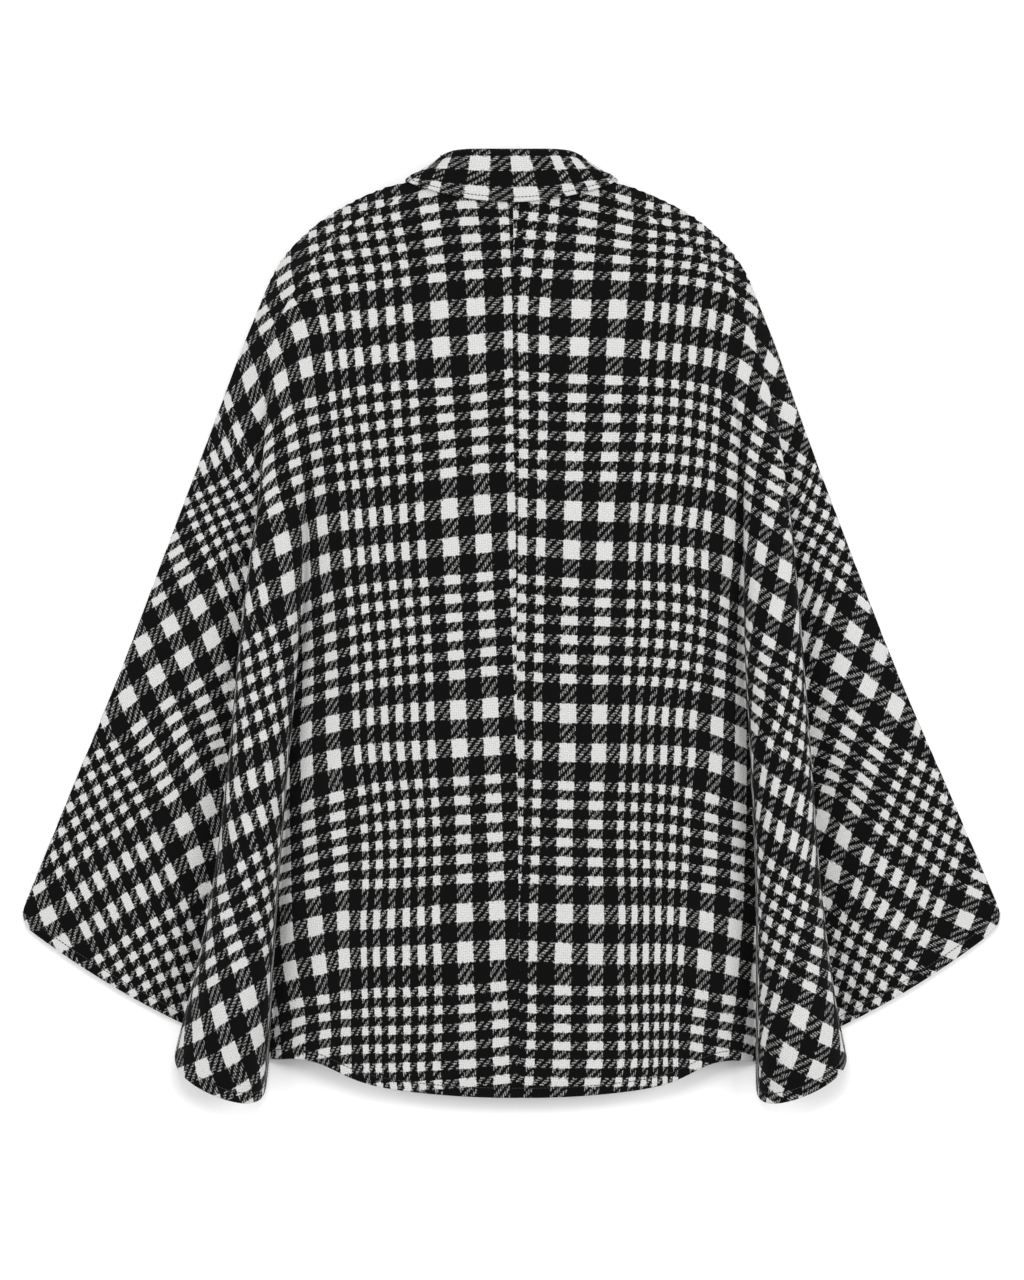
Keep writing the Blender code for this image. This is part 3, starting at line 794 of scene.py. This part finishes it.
class Nodes:
    """Short names for a tree's nodes, so that a pattern reads as a formula."""

    def __init__(self, tree: bpy.types.NodeTree) -> None:
        """Work in this tree."""
        self.tree = tree

    def fill(self, node: bpy.types.Node, values: Mapping[int | str, object]) -> bpy.types.Node:
        """Give a node its inputs.

        Args:
            node: The node.
            values: For each input, by name or place, a value or another node's socket.

        Returns:
            The node.
        """
        for key, value in values.items():
            if isinstance(value, bpy.types.NodeSocket):
                self.tree.links.new(value, node.inputs[key])
            else:
                node.inputs[key].default_value = value
        return node

    def add(self, kind: str, values: Mapping[int | str, object]) -> bpy.types.Node:
        """A new node with these inputs."""
        return self.fill(self.tree.nodes.new(kind), values)

    def do(self, operation: str, *values: object) -> bpy.types.NodeSocket:
        """Result of one Math node."""
        node = self.add("ShaderNodeMath", dict(enumerate(values)))
        node.operation = operation
        return node.outputs[0]

    def both(self, first: object, second: object) -> bpy.types.NodeSocket:
        """Product of two values."""
        return self.do("MULTIPLY", first, second)

    def line(self, value: object, factor: float, start: float) -> bpy.types.NodeSocket:
        """A value times a factor, plus a start."""
        return self.do("ADD", self.both(value, factor), start)

    def mix(self, share: object, first: object, second: object) -> bpy.types.NodeSocket:
        """First where share is 0, second where it is 1."""
        return self.add("ShaderNodeMix", {0: share, 2: first, 3: second}).outputs[0]

    def noise(self, vector: object, grain: Grain) -> bpy.types.Node:
        """A noise texture that reads the given place."""
        node = self.tree.nodes.new("ShaderNodeTexNoise")
        node.noise_dimensions = "4D"
        values = {"W": grain.seed, "Scale": grain.scale, "Detail": grain.detail, "Vector": vector}
        return self.fill(node, values)

    def bump(self, height: object, strength: float, distance: float) -> bpy.types.NodeSocket:
        """A surface's direction, from its relief."""
        values = {"Height": height, "Strength": strength, "Distance": distance}
        return self.add("ShaderNodeBump", values).outputs["Normal"]


def add_object(name: str, data: bpy.types.ID) -> bpy.types.Object:
    """A new object in the scene, at the origin."""
    made = bpy.data.objects.new(name, data)
    bpy.context.scene.collection.objects.link(made)
    return made


def new_finish(name: str) -> tuple[bpy.types.Material, Nodes, bpy.types.Node]:
    """A new material, its nodes and its shader."""
    material = bpy.data.materials.new(name)
    material.use_nodes = True
    return material, Nodes(material.node_tree), material.node_tree.nodes["Principled BSDF"]


@dataclass(frozen=True)
class CheckedWool:
    """Brushed wool in a black and white glen check, woven as a two by two twill from the UV's threads."""

    name: str
    end_bands: Sequence[Band]
    white: float = 0.57
    black: float = 0.0027
    tint: tuple[float, float, float] = (1.0, 0.994, 0.98)
    edge_wander: float = 1.1
    edge_shade: float = 1.75
    over_black: float = 0.88
    strand_power: float = 3.5
    nap_share: float = 0.48
    nap_reach: float = 4.6
    # Painted shade between yarns: how much darker each yarn is at its edges than at its middle.
    painted_yarn_shade: float = 0.24
    fibre_shade: float = 0.3
    patch_shade: float = 0.1
    fibre_relief: float = 0.8
    bump_strength: float = 0.6
    bump_distance: float = 0.0004
    wander: Grain = Grain(0.9, 2.0, 1.0)
    nap: Grain = Grain(0.7, 3.0, 7.0)
    fibre: Grain = Grain(2.6, 3.0, 3.0)
    patch: Grain = Grain(14.0, 3.0, 5.0)

    @staticmethod
    def is_white(nodes: Nodes, thread: bpy.types.NodeSocket, bands: Sequence[Band]) -> bpy.types.NodeSocket:
        """Tell white threads from black ones.

        Args:
            nodes: The weave's nodes.
            thread: The thread's whole number.
            bands: Where threads are white.

        Returns:
            1 where the thread is white in one of the bands, otherwise 0.
        """
        white = 0.0
        for band in bands:
            place = nodes.do("SUBTRACT", thread, float(band.start))
            in_step = nodes.do("FLOORED_MODULO", place, float(band.step))
            inside = nodes.do("LESS_THAN", in_step, 0.5 * band.step)
            inside = nodes.both(inside, nodes.do("GREATER_THAN", place, -HALF_THREAD))
            inside = nodes.both(inside, nodes.do("LESS_THAN", place, float(band.end - band.start)))
            white = nodes.do("MAXIMUM", white, inside)
        return white

    def weave_group(self) -> bpy.types.NodeTree:
        """A node group: thread places in, whiteness and yarn height out."""
        group = bpy.data.node_groups.new(self.name + "_weave", "ShaderNodeTree")
        for label, way in (("End", "INPUT"), ("Pick", "INPUT"), ("White", "OUTPUT"), ("Height", "OUTPUT")):
            group.interface.new_socket(label, in_out=way, socket_type="NodeSocketFloat")
        nodes = Nodes(group)
        entry = nodes.add("NodeGroupInput", {})
        end, pick = entry.outputs["End"], entry.outputs["Pick"]
        end_number, pick_number = nodes.do("FLOOR", end), nodes.do("FLOOR", pick)
        stagger = nodes.do("FLOORED_MODULO", nodes.do("ADD", end_number, pick_number), TWILL_REPEAT)
        warp_up = nodes.do("LESS_THAN", stagger, 0.5 * TWILL_REPEAT - HALF_THREAD)
        end_white = self.is_white(nodes, end_number, self.end_bands)
        in_repeat = nodes.do("FLOORED_MODULO", pick_number, PICK_REPEAT)
        pick_white = self.is_white(nodes, in_repeat, PICK_BANDS)
        upper = nodes.mix(warp_up, pick_white, end_white)
        lower = nodes.mix(warp_up, end_white, pick_white)
        across_end = nodes.do("SINE", nodes.both(nodes.do("FRACT", end), math.pi))
        across_pick = nodes.do("SINE", nodes.both(nodes.do("FRACT", pick), math.pi))
        height = nodes.mix(warp_up, across_pick, across_end)
        strand = nodes.both(self.over_black, nodes.do("POWER", height, self.strand_power))
        white = nodes.both(upper, nodes.mix(lower, strand, 1.0))
        nodes.add("NodeGroupOutput", {"White": white, "Height": height})
        return group

    def weave(
        self, nodes: Nodes, group: bpy.types.NodeTree, uv: bpy.types.NodeSocket, grain: Grain, reach: float
    ) -> bpy.types.Node:
        """Read the weave with its threads pushed about by a noise.

        Args:
            nodes: The material's nodes.
            group: The weave's node group.
            uv: The place on the cloth, in threads.
            grain: The noise that pushes the threads about.
            reach: How many threads a push spans at most.

        Returns:
            The group's node.
        """
        split = nodes.add("ShaderNodeSeparateXYZ", {0: uv})
        parts = nodes.add("ShaderNodeSeparateXYZ", {0: nodes.noise(uv, grain).outputs["Color"]})
        node = nodes.tree.nodes.new("ShaderNodeGroup")
        node.node_tree = group
        pushed = {}
        for place, name in enumerate(("End", "Pick")):
            push = nodes.both(nodes.do("SUBTRACT", parts.outputs[place], 0.5), reach)
            pushed[name] = nodes.do("ADD", split.outputs[place], push)
        return nodes.fill(node, pushed)

    def build(self) -> bpy.types.Material:
        """Make the material."""
        material, nodes, shader = new_finish(self.name)
        map_node = nodes.add("ShaderNodeUVMap", {})
        map_node.uv_map = "threads"
        uv = map_node.outputs["UV"]
        where = nodes.add("ShaderNodeTexCoord", {}).outputs["Object"]
        group = self.weave_group()
        crisp = self.weave(nodes, group, uv, self.wander, self.edge_wander)
        loose = self.weave(nodes, group, uv, self.nap, self.nap_reach)
        napped = nodes.mix(self.nap_share, crisp.outputs["White"], loose.outputs["White"])
        tone = nodes.do("POWER", napped, self.edge_shade)
        fibre = nodes.noise(uv, self.fibre).outputs["Fac"]
        patch = nodes.noise(where, self.patch).outputs["Fac"]
        # Painted shade: each yarn is made darker towards its edges, as if shaded in the gaps between yarns,
        # on top of the bump.
        tone = nodes.both(tone, nodes.line(crisp.outputs["Height"], self.painted_yarn_shade, 1.0 - self.painted_yarn_shade))
        tone = nodes.both(tone, nodes.line(fibre, self.fibre_shade, 1.0 - 0.5 * self.fibre_shade))
        tone = nodes.both(tone, nodes.line(patch, self.patch_shade, 1.0 - 0.5 * self.patch_shade))
        level = nodes.line(tone, self.white - self.black, self.black)
        tinted = {place: nodes.both(level, share) for place, share in enumerate(self.tint)}
        relief = nodes.do("ADD", crisp.outputs["Height"], nodes.both(fibre, self.fibre_relief))
        nodes.fill(shader, {
            "Base Color": nodes.add("ShaderNodeCombineColor", tinted).outputs[0],
            "Roughness": 0.95,
            "Specular IOR Level": 0.06,
            "Sheen Weight": 0.03,
            "Sheen Roughness": 0.5,
            "Normal": nodes.bump(relief, self.bump_strength, self.bump_distance),
        })
        return material


@dataclass
class BackHalf:
    """Half of the back, from the centre seam over the raised fold to the outline, with its hem."""

    shape: HalfShape
    crossings: Crossings
    tuck_in: float
    tuck_in_start: float = 0.45
    tuck_in_run: float = 0.5
    tuck_out: float = 30.0
    tuck_out_start: float = 0.35
    tuck_out_run: float = 0.15
    tuck_share: float = 0.12
    least_step: float = 0.02
    most_stretch: float = 3.0
    stiffness: float = 0.002
    middle_columns: int = 74
    fold_columns: int = 40
    wing_columns: int = 60
    rows: int = 200
    edge_step: float = 0.004
    hem_rows: tuple[float, float, float] = (1.0, 0.998, 0.995)
    stitch_rise: float = 8.0
    stitch_points: int = 900
    flat_width: float = 0.56
    flat_length: float = 0.88
    flat_area: float = 0.33

    @property
    def name(self) -> str:
        """The CAD node that this piece stands for."""
        return "back_" + self.shape.side.name.lower()

    def across(self) -> Array:
        """Places of the mesh lines across the half, with a narrow step at either end."""
        middle = np.linspace(0.0, 1.0, self.middle_columns, endpoint=False)
        fold = np.linspace(1.0, 2.0, self.fold_columns, endpoint=False)
        wing = np.linspace(2.0, 3.0, self.wing_columns)
        narrow = [self.edge_step, 3.0 - self.edge_step]
        return np.sort(np.concatenate([middle, fold, wing, narrow]))

    def down(self) -> Array:
        """Places of the mesh rows from the hem up."""
        return np.concatenate([self.hem_rows[:2], np.linspace(self.hem_rows[2], 0.0, self.rows - 2)])

    def surface(self) -> tuple[Array, Array]:
        """Points of the outer side, and the thread numbers at them."""
        across, down = np.meshgrid(self.across(), self.down())
        x, y, z = self.shape.back(across, down)
        spread = running_sum(np.hypot(np.diff(x, axis=1), np.diff(z, axis=1)), 1) + x[:, :1]
        threads = self.threads(x, y, spread + self.tucked(across, down))
        threads[..., 0] *= self.shape.side.value
        return self.shape.placed(*self.shape.round_tip(x, y), z), threads

    def tucked(self, across: Array, down: Array) -> Array:
        """Measure the cloth that is hidden in the tucks along the fold's creases.

        Args:
            across: Places across the half.
            down: Places down the half.

        Returns:
            The hidden length between the centre seam and each point.
        """
        inner = smooth_step((down - self.tuck_in_start) / self.tuck_in_run)
        outer = smooth_step((down - self.tuck_out_start) / self.tuck_out_run)
        inner = self.tuck_in * inner * smooth_step((across - 1.0) / self.tuck_share)
        return inner + self.tuck_out * outer * smooth_step((across - 2.0 + self.tuck_share) / self.tuck_share)

    def threads(self, x: Array, y: Array, spread: Array) -> Array:
        """Thread numbers all over the panel.

        Args:
            x: Distance of each point from the middle, rows by columns.
            y: The points' y.
            spread: How far out each point lies along the cloth.

        Returns:
            Warp end and weft pick at each point.
        """
        stretch = np.gradient(spread, axis=1) / np.maximum(np.gradient(x, axis=1), self.least_step)
        places, values = [], []
        for pick, marks in self.crossings.items():
            for end, pixel_x, pixel_y in marks:
                mark_x = self.shape.side.value * (pixel_x - PHOTO_CENTRE[0]) * PHOTO_STEP
                mark_y = (PHOTO_CENTRE[1] - pixel_y) * PHOTO_STEP
                nearest = np.argmin((x - mark_x) ** 2 + (y - mark_y) ** 2)
                beyond = (mark_x - x.flat[nearest]) * min(stretch.flat[nearest], self.most_stretch)
                places.append((spread.flat[nearest] + beyond, mark_y))
                values.append((float(end), float(pick)))
        return BentPlate(np.array(places), np.array(values), self.stiffness).read(spread, y)

    def hem_line(self) -> Array:
        """Points of the line of stitches along the hem, on the outer side."""
        across = np.linspace(0.0, 3.0, self.stitch_points)
        length = self.shape.rows[0].centre_y - self.shape.rows[-2].centre_y
        x, y, z = self.shape.back(across, np.full_like(across, 1.0 - self.stitch_rise / length))
        return self.shape.placed(*self.shape.round_tip(x, y), z)

    def build(self, finish: bpy.types.Material, thread: bpy.types.Material) -> bpy.types.Object:
        """Make the panel and its hem stitching.

        Args:
            finish: The cloth.
            thread: The stitches' material.

        Returns:
            The panel.
        """
        piece = ClothPanel(self.name, "back_cloth").build(*self.surface(), UP, finish)
        stitches = Stitching(self.name + "_hem_stitches", self.hem_line(), "back_cloth")
        "front_" + self.shape.side.name.lower() + "_cloth"
        stitches.build(thread)
        return piece


@dataclass
class FrontHalf:
    """One front panel, plain and flat, on which the cape lies."""

    shape: HalfShape
    columns: int = 90
    rows: int = 150
    flat_width: float = 0.46
    flat_length: float = 0.82
    flat_area: float = 0.25

    @property
    def name(self) -> str:
        """The CAD node that this piece stands for."""
        return "front_" + self.shape.side.name.lower()

    def build(self, finish: bpy.types.Material) -> bpy.types.Object:
        """Make the panel.

        Args:
            finish: The cloth.

        Returns:
            The panel.
        """
        across, down = np.meshgrid(np.linspace(0.0, 1.0, self.columns), np.linspace(1.0, 0.0, self.rows))
        points = self.shape.placed(*self.shape.front(across, down))
        threads = points[..., :2] / np.array([END_MM, -PICK_MM])
        piece = ClothPanel(self.name, "front_cloth").build(points, threads, -UP, finish)
        return piece


@dataclass
class Collar:
    """The stand, sewn in the neckline, and the fall, which rolls over its top and lies down outside."""

    top_half_width: float = 64.0
    top_back_y: float = 424.6
    top_side_y: float = 417.0
    corner_power: float = 8.0
    dip_power: float = 2.2
    top_front_y: float = 354.0
    top_rise: float = 1.2
    fall_side_x: float = 95.0
    fall_back_y: float = 381.0
    fall_side_y: float = 400.0
    fall_front_y: float = 297.0
    fall_point_x: float = 13.0
    fall_dip_power: float = 1.8
    fall_side_inset: float = 7.2
    far_off: float = 1000.0
    opening_gap: float = 4.0
    neck_seam: float = 0.45
    ring_back: Sequence[float] = (0.0, 0.2, 0.4, 0.55, 0.67, 0.77, 0.85, 0.91, 0.96, 1.0)
    ring_front: Sequence[float] = (1.0, 0.95, 0.88, 0.8, 0.7, 0.58, 0.42, 0.24, 0.1, 0.0)
    roll: Sequence[tuple[float, float]] = ((-1.9, 3.4), (-0.4, 3.6), (1.6, 3.0), (3.0, 1.2), (3.4, -1.6))
    stand_faces: tuple[float, float, float] = (0.0, 1.0, 0.6)
    fall_rows: int = 4
    finer: int = 6
    stitch_rise: float = 3.0
    end_mm: float = 2.3
    pick_mm: float = 1.75
    check_side: float = 29.5
    check_end: float = 4.0
    check_depth: float = 10.0
    fan_x: float = -13.0
    fan_share: float = 0.17
    fan_start: float = 14.0
    fan_run: float = 24.0
    fan_range: tuple[float, float] = (-0.6, 1.6)

    def ring(self) -> tuple[Array, Array]:
        """The neckline once round, from one front edge to the other, and which points are on the back."""
        halves = []
        back_places, front_places = 3.0 * np.array(self.ring_back), np.array(self.ring_front)
        for shape in (LEFT_SHAPE, RIGHT_SHAPE):
            back = shape.placed(*shape.back(back_places, np.zeros_like(back_places)))
            front = shape.placed(*shape.front(front_places, np.zeros_like(front_places)))
            halves.append(np.concatenate([back, front]))
        ring = np.concatenate([halves[0][::-1], halves[1][1:]])
        ring[0, 0] -= 0.5 * self.opening_gap
        ring[-1, 0] += 0.5 * self.opening_gap
        on_back = np.abs(np.arange(len(ring)) - len(ring) // 2) < len(self.ring_back)
        return ring, on_back

    def stand_top(self, ring: Array, on_back: Array) -> Array:
        """Draw the neckline in to the stand's upper edge, straight along the back and dipping in front.

        Args:
            ring: The neckline once round.
            on_back: Which of its points are on the back.

        Returns:
            The upper edge, point by point.
        """
        width = np.abs(ring[:, 0]).max()
        share = np.clip(np.abs(ring[:, 0]) / width, 0.0, 1.0)
        back_y = self.top_back_y + (self.top_side_y - self.top_back_y) * share**self.corner_power
        front_y = self.top_front_y + (self.top_side_y - self.top_front_y) * share**self.dip_power
        x = ring[:, 0] * self.top_half_width / width
        return np.stack([x, np.where(on_back, back_y, front_y), ring[:, 2] + self.top_rise], axis=1)

    def clear_of_body(self, points: Array, on_back: Array) -> Array:
        """Keep points of the fall outside the panels that they lie on.

        Args:
            points: A row of the fall.
            on_back: Which of its points lie on the back.

        Returns:
            The points' heights.
        """
        z = points[:, 2].copy()
        for shape in (LEFT_SHAPE, RIGHT_SHAPE):
            for back in (True, False):
                here = (on_back == back) & (np.sign(points[:, 0] + 1e-6) == shape.side.value)
                x = np.minimum(np.abs(points[here, 0]), self.fall_side_x - self.fall_side_inset)
                y = points[here, 1]
                down = shape.down_at(back, x, y)
                if back:
                    height = shape.round_edge(x, y, column(RELIEF, "centre", down), down)
                    cleared = np.maximum(z[here], height + CLOTH + shape.fall_lift)
                else:
                    height = shape.front_height(x, y, down)
                    cleared = np.minimum(z[here], np.maximum(0.0, height - CLOTH - shape.fall_lift))
                z[here] = np.where(down > 0.0, cleared, z[here])
        return z

    def fall_edge(self, ring: Array, on_back: Array) -> Array:
        """Lay the fall's lower edge: level over the back, and drawn down to two points under the front.

        Args:
            ring: The neckline once round.
            on_back: Which of its points are on the back.

        Returns:
            The edge, point by point.
        """
        share = np.abs(ring[:, 0]) / np.abs(ring[:, 0]).max()
        reach = self.fall_point_x + (self.fall_side_x - self.fall_point_x) * share
        reach = np.where(on_back, self.fall_side_x * share, reach)
        back_y = self.fall_back_y + (self.fall_side_y - self.fall_back_y) * share**2
        front_y = self.fall_front_y + (self.fall_side_y - self.fall_front_y) * share**self.fall_dip_power
        start = np.where(on_back, -self.far_off, self.far_off)
        edge = np.stack([np.copysign(reach, ring[:, 0]), np.where(on_back, back_y, front_y), start], axis=1)
        edge[:, 2] = self.clear_of_body(edge, on_back)
        return edge

    @staticmethod
    def outward(top: Array, upward: Array) -> Array:
        """Find the directions out of a ring, longer at corners so that an offset keeps its distance.

        Args:
            top: The ring's points.
            upward: The direction up the stand at each one.

        Returns:
            One direction for each point.
        """
        along = np.diff(top, axis=0)
        before = unit(np.cross(np.concatenate([along[:1], along]), upward))
        after = unit(np.cross(np.concatenate([along, along[-1:]]), upward))
        middle = unit(before + after)
        return middle / np.sum(middle * before, axis=1)[:, None]

    def smooth(self, points: Array) -> Array:
        """A finer grid through the same points, both ways."""
        return finer_grid(finer_grid(points, self.finer).transpose(1, 0, 2), self.finer).transpose(1, 0, 2)

    def fall_grid(self, foot: Array, top: Array, edge: Array, on_back: Array) -> Array:
        """Roll the fall over the stand's top and bring it down outside.

        Args:
            foot: The stand's lower edge.
            top: The stand's upper edge.
            edge: The fall's lower edge.
            on_back: Which points are on the back.

        Returns:
            The fall's outer side, from the stand to the edge.
        """
        along = unit(np.gradient(top, axis=0))
        rise = top - foot
        upward = unit(rise - np.sum(rise * along, axis=1)[:, None] * along)
        out = self.outward(top, upward)
        rows = [top + sideways * out + lifted * upward for sideways, lifted in self.roll]
        rolled = rows[-1]
        for step in range(1, self.fall_rows + 1):
            row = rolled + (edge - rolled) * step / self.fall_rows
            row[:, 2] = self.clear_of_body(row, on_back)
            rows.append(row)
        return self.smooth(np.stack(rows))

    def edge_line(self, fall: Array, on_back: Array) -> Array:
        """Find the line of stitches just above the fall's lower edge, on the back only.

        Args:
            fall: The fall's outer side.
            on_back: Which points of the neckline are on the back.

        Returns:
            The line's points.
        """
        step = np.linalg.norm(fall[-1] - fall[-2], axis=-1).mean()
        kept = np.flatnonzero(on_back) * self.finer
        return fall[-1 - max(1, round(self.stitch_rise / step)), kept[0] : kept[-1] + 1]

    def threads(self, points: Array, fanned: bool) -> Array:
        """Lay the check along a part of the collar.

        Args:
            points: The part's outer side.
            fanned: Whether the check spreads towards the lower edge.

        Returns:
            Warp end and weft pick at each point.
        """
        middle = points.shape[1] // 2
        along = running_sum(np.linalg.norm(np.diff(points, axis=1), axis=-1), 1)
        along = along - along[:, middle : middle + 1]
        depth = running_sum(np.linalg.norm(np.diff(points, axis=0), axis=-1), 0)
        if fanned:
            below = np.clip((depth - self.fan_start) / self.fan_run, *self.fan_range)
            along = (along - self.fan_x) / (1.0 + self.fan_share * below) + self.fan_x
        end = (along + self.check_side) / self.end_mm + self.check_end
        return np.stack([end, (depth - self.check_depth) / self.pick_mm], axis=-1)

    def build(self, finish: bpy.types.Material, thread: bpy.types.Material) -> list[bpy.types.Object]:
        """Make the stand and the fall.

        Args:
            finish: The cloth.
            thread: The stitches' material.

        Returns:
            The stand and the fall.
        """
        ring, on_back = self.ring()
        foot = ring + np.array([0.0, self.neck_seam, 0.0])
        top = self.stand_top(ring, on_back)
        grid = self.smooth(np.stack([foot, 0.5 * (foot + top), top]))
        panel = ClothPanel("collar_stand", "collar_cloth", STAND_CLOTH)
        stand = panel.build(grid, self.threads(grid, False), np.array(self.stand_faces), finish)
        grid = self.fall_grid(foot, top, self.fall_edge(ring, on_back), on_back)
        fall = ClothPanel("collar_fall", "collar_cloth").build(grid, self.threads(grid, True), UP, finish)
        stitches = Stitching("collar_fall_stitches", self.edge_line(grid, on_back), "collar_cloth")
        stitches.build(thread)
        return [stand, fall]


@dataclass(frozen=True)
class Thread:
    """Dark polyester sewing thread, with a soft twist."""

    name: str = "sewing_thread"
    colour: tuple[float, float, float, float] = (0.012, 0.012, 0.013, 1.0)
    twist: Grain = Grain(2600.0, 1.0, 2.0)
    bump_strength: float = 0.5
    bump_distance: float = 0.0001

    def build(self) -> bpy.types.Material:
        """Make the material."""
        material, nodes, shader = new_finish(self.name)
        where = nodes.add("ShaderNodeTexCoord", {}).outputs["Object"]
        relief = nodes.noise(where, self.twist).outputs["Fac"]
        normal = nodes.bump(relief, self.bump_strength, self.bump_distance)
        nodes.fill(shader, {"Base Color": self.colour, "Roughness": 0.6, "Normal": normal})
        return material


@dataclass
class Stitching:
    """A line of topstitching: Geometry Nodes lay one short thread after another along a path."""

    name: str
    path: Array
    slot: str
    pitch: float = 3.2
    reach: float = 2.8
    girth: float = 0.8
    proud: float = 0.12
    bead_sides: int = 8
    bead_rings: int = 6

    def tree(self, finish: bpy.types.Material) -> tuple[bpy.types.NodeTree, dict[str, float]]:
        """Build the node tree.

        Args:
            finish: The thread's material.

        Returns:
            The tree, and the modifier's inputs by socket identifier.
        """
        group = bpy.data.node_groups.new(self.name + "_nodes", "GeometryNodeTree")
        group.interface.new_socket("Path", in_out="INPUT", socket_type="NodeSocketGeometry")
        group.interface.new_socket("Stitches", in_out="OUTPUT", socket_type="NodeSocketGeometry")
        inputs = {}
        for label, value in (("Pitch", self.pitch), ("Length", self.reach), ("Girth", self.girth)):
            socket = group.interface.new_socket(label, in_out="INPUT", socket_type="NodeSocketFloat")
            inputs[socket.identifier] = value * MM
        nodes = Nodes(group)
        entry = nodes.add("NodeGroupInput", {}).outputs
        curve = nodes.add("GeometryNodeMeshToCurve", {0: entry["Path"]})
        spaced = group.nodes.new("GeometryNodeResampleCurve")
        spaced.mode = "LENGTH"
        nodes.fill(spaced, {"Curve": curve.outputs[0], "Length": entry["Pitch"]})
        tangent = nodes.add("GeometryNodeInputTangent", {})
        turn = nodes.add("FunctionNodeAlignRotationToVector", {"Vector": tangent.outputs[0]})
        turn.axis = "X"
        scale = nodes.add("ShaderNodeCombineXYZ", {0: entry["Length"], 1: entry["Girth"], 2: entry["Girth"]})
        sizes = {"Segments": self.bead_sides, "Rings": self.bead_rings, "Radius": 0.5}
        placed = nodes.add("GeometryNodeInstanceOnPoints", {
            "Points": spaced.outputs[0],
            "Instance": nodes.add("GeometryNodeMeshUVSphere", sizes).outputs["Mesh"],
            "Rotation": turn.outputs[0],
            "Scale": scale.outputs[0],
        })
        real = nodes.add("GeometryNodeRealizeInstances", {0: placed.outputs[0]})
        painted = nodes.add("GeometryNodeSetMaterial", {"Geometry": real.outputs[0], "Material": finish})
        nodes.add("NodeGroupOutput", {"Stitches": painted.outputs[0]})
        return group, inputs

    def build(self, finish: bpy.types.Material) -> bpy.types.Object:
        """Lay the stitches and tie them to the frame.

        Args:
            finish: The thread's material.

        Returns:
            The stitches, as one object.
        """
        corners = (self.path + self.proud * UP) * MM
        mesh = bpy.data.meshes.new(self.name)
        mesh.from_pydata(corners.tolist(), [(place, place + 1) for place in range(len(corners) - 1)], [])
        piece = add_object(self.name, mesh)
        group, inputs = self.tree(finish)
        modifier = piece.modifiers.new("stitches", "NODES")
        modifier.node_group = group
        for identifier, value in inputs.items():
            modifier[identifier] = value
        laid = piece.evaluated_get(bpy.context.evaluated_depsgraph_get())
        made = bpy.data.meshes.new_from_object(laid)
        piece.modifiers.clear()
        piece.data = made
        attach(piece, "root")
        return piece


@dataclass
class Studio:
    """Camera, floor and soft light."""

    camera_height: float = 9.0
    cloth_height: float = 0.01
    view_length: float = 1.152
    view_x: float = 0.00045
    view_y: float = -0.0131
    sensor: float = 36.0
    floor_reach: float = 6.0
    floor_z: float = -0.0003
    floor_tone: float = 0.97
    room_light: float = 0.64
    lamps: Sequence[Lamp] = (
        Lamp("left", (-3.2, 0.2, 2.3), 2.0, 70.0),
        Lamp("right", (3.2, 0.2, 2.3), 2.0, 86.0),
        Lamp("top", (-0.1, 1.2, 3.2), 1.2, 35.0),
    )

    def build(self) -> None:
        """Make the camera, the floor and the lights."""
        scene = bpy.context.scene
        camera = bpy.data.cameras.new("camera")
        camera.sensor_width = self.sensor
        camera.lens = self.sensor * (self.camera_height - self.cloth_height) / self.view_length
        scene.camera = add_object("camera", camera)
        scene.camera.location = (self.view_x, self.view_y, self.camera_height)
        self.floor()
        self.lights()
        scene.view_settings.view_transform = "Standard"

    def floor(self) -> None:
        """A wide pale floor just under the cape."""
        mesh = bpy.data.meshes.new("floor")
        signs = ((-1, -1), (1, -1), (1, 1), (-1, 1))
        corners = [(x * self.floor_reach, y * self.floor_reach, self.floor_z) for x, y in signs]
        mesh.from_pydata(corners, [], [(0, 1, 2, 3)])
        material, nodes, shader = new_finish("pale_floor")
        colour = (self.floor_tone, self.floor_tone, self.floor_tone, 1.0)
        nodes.fill(shader, {"Base Color": colour, "Roughness": 1.0, "Specular IOR Level": 0.0})
        mesh.materials.append(material)
        add_object("floor", mesh)

    def lights(self) -> None:
        """Soft lights from both sides, a small one from the collar's side, and an even glow all round."""
        for lamp in self.lamps:
            light = bpy.data.lights.new(lamp.name, "AREA")
            light.size = lamp.size
            light.energy = lamp.power
            holder = add_object(lamp.name, light)
            holder.location = lamp.place
            holder.rotation_euler = (-holder.location).to_track_quat("-Z", "Y").to_euler()
        world = bpy.data.worlds.new("soft_room")
        world.use_nodes = True
        glow = world.node_tree.nodes["Background"]
        Nodes(world.node_tree).fill(glow, {"Color": (1.0, 1.0, 1.0, 1.0), "Strength": self.room_light})
        bpy.context.scene.world = world


def main() -> None:
    """Build the cape's pieces in order, then the studio."""
    logging.basicConfig(level=logging.INFO, format="%(message)s")
    wools = {}
    for side in Side:
        wools[side] = CheckedWool("glen_wool_" + side.name.lower(), END_BANDS[side.name]).build()
    thread = Thread().build()
    pieces = []
    halves = (LEFT_SHAPE, LEFT_CROSSINGS, LEFT_TUCK), (RIGHT_SHAPE, RIGHT_CROSSINGS, RIGHT_TUCK)
    for shape, crossings, tuck in halves:
        pieces.append(FrontHalf(shape).build(wools[shape.side]))
        pieces.append(BackHalf(shape, crossings, tuck).build(wools[shape.side], thread))
    pieces += Collar().build(wools[Side.RIGHT], thread)
    for piece in pieces:
        LOG.info("%s: %d faces", piece.name, len(piece.data.polygons))
    Studio().build()


if __name__ == "__main__":
    main()
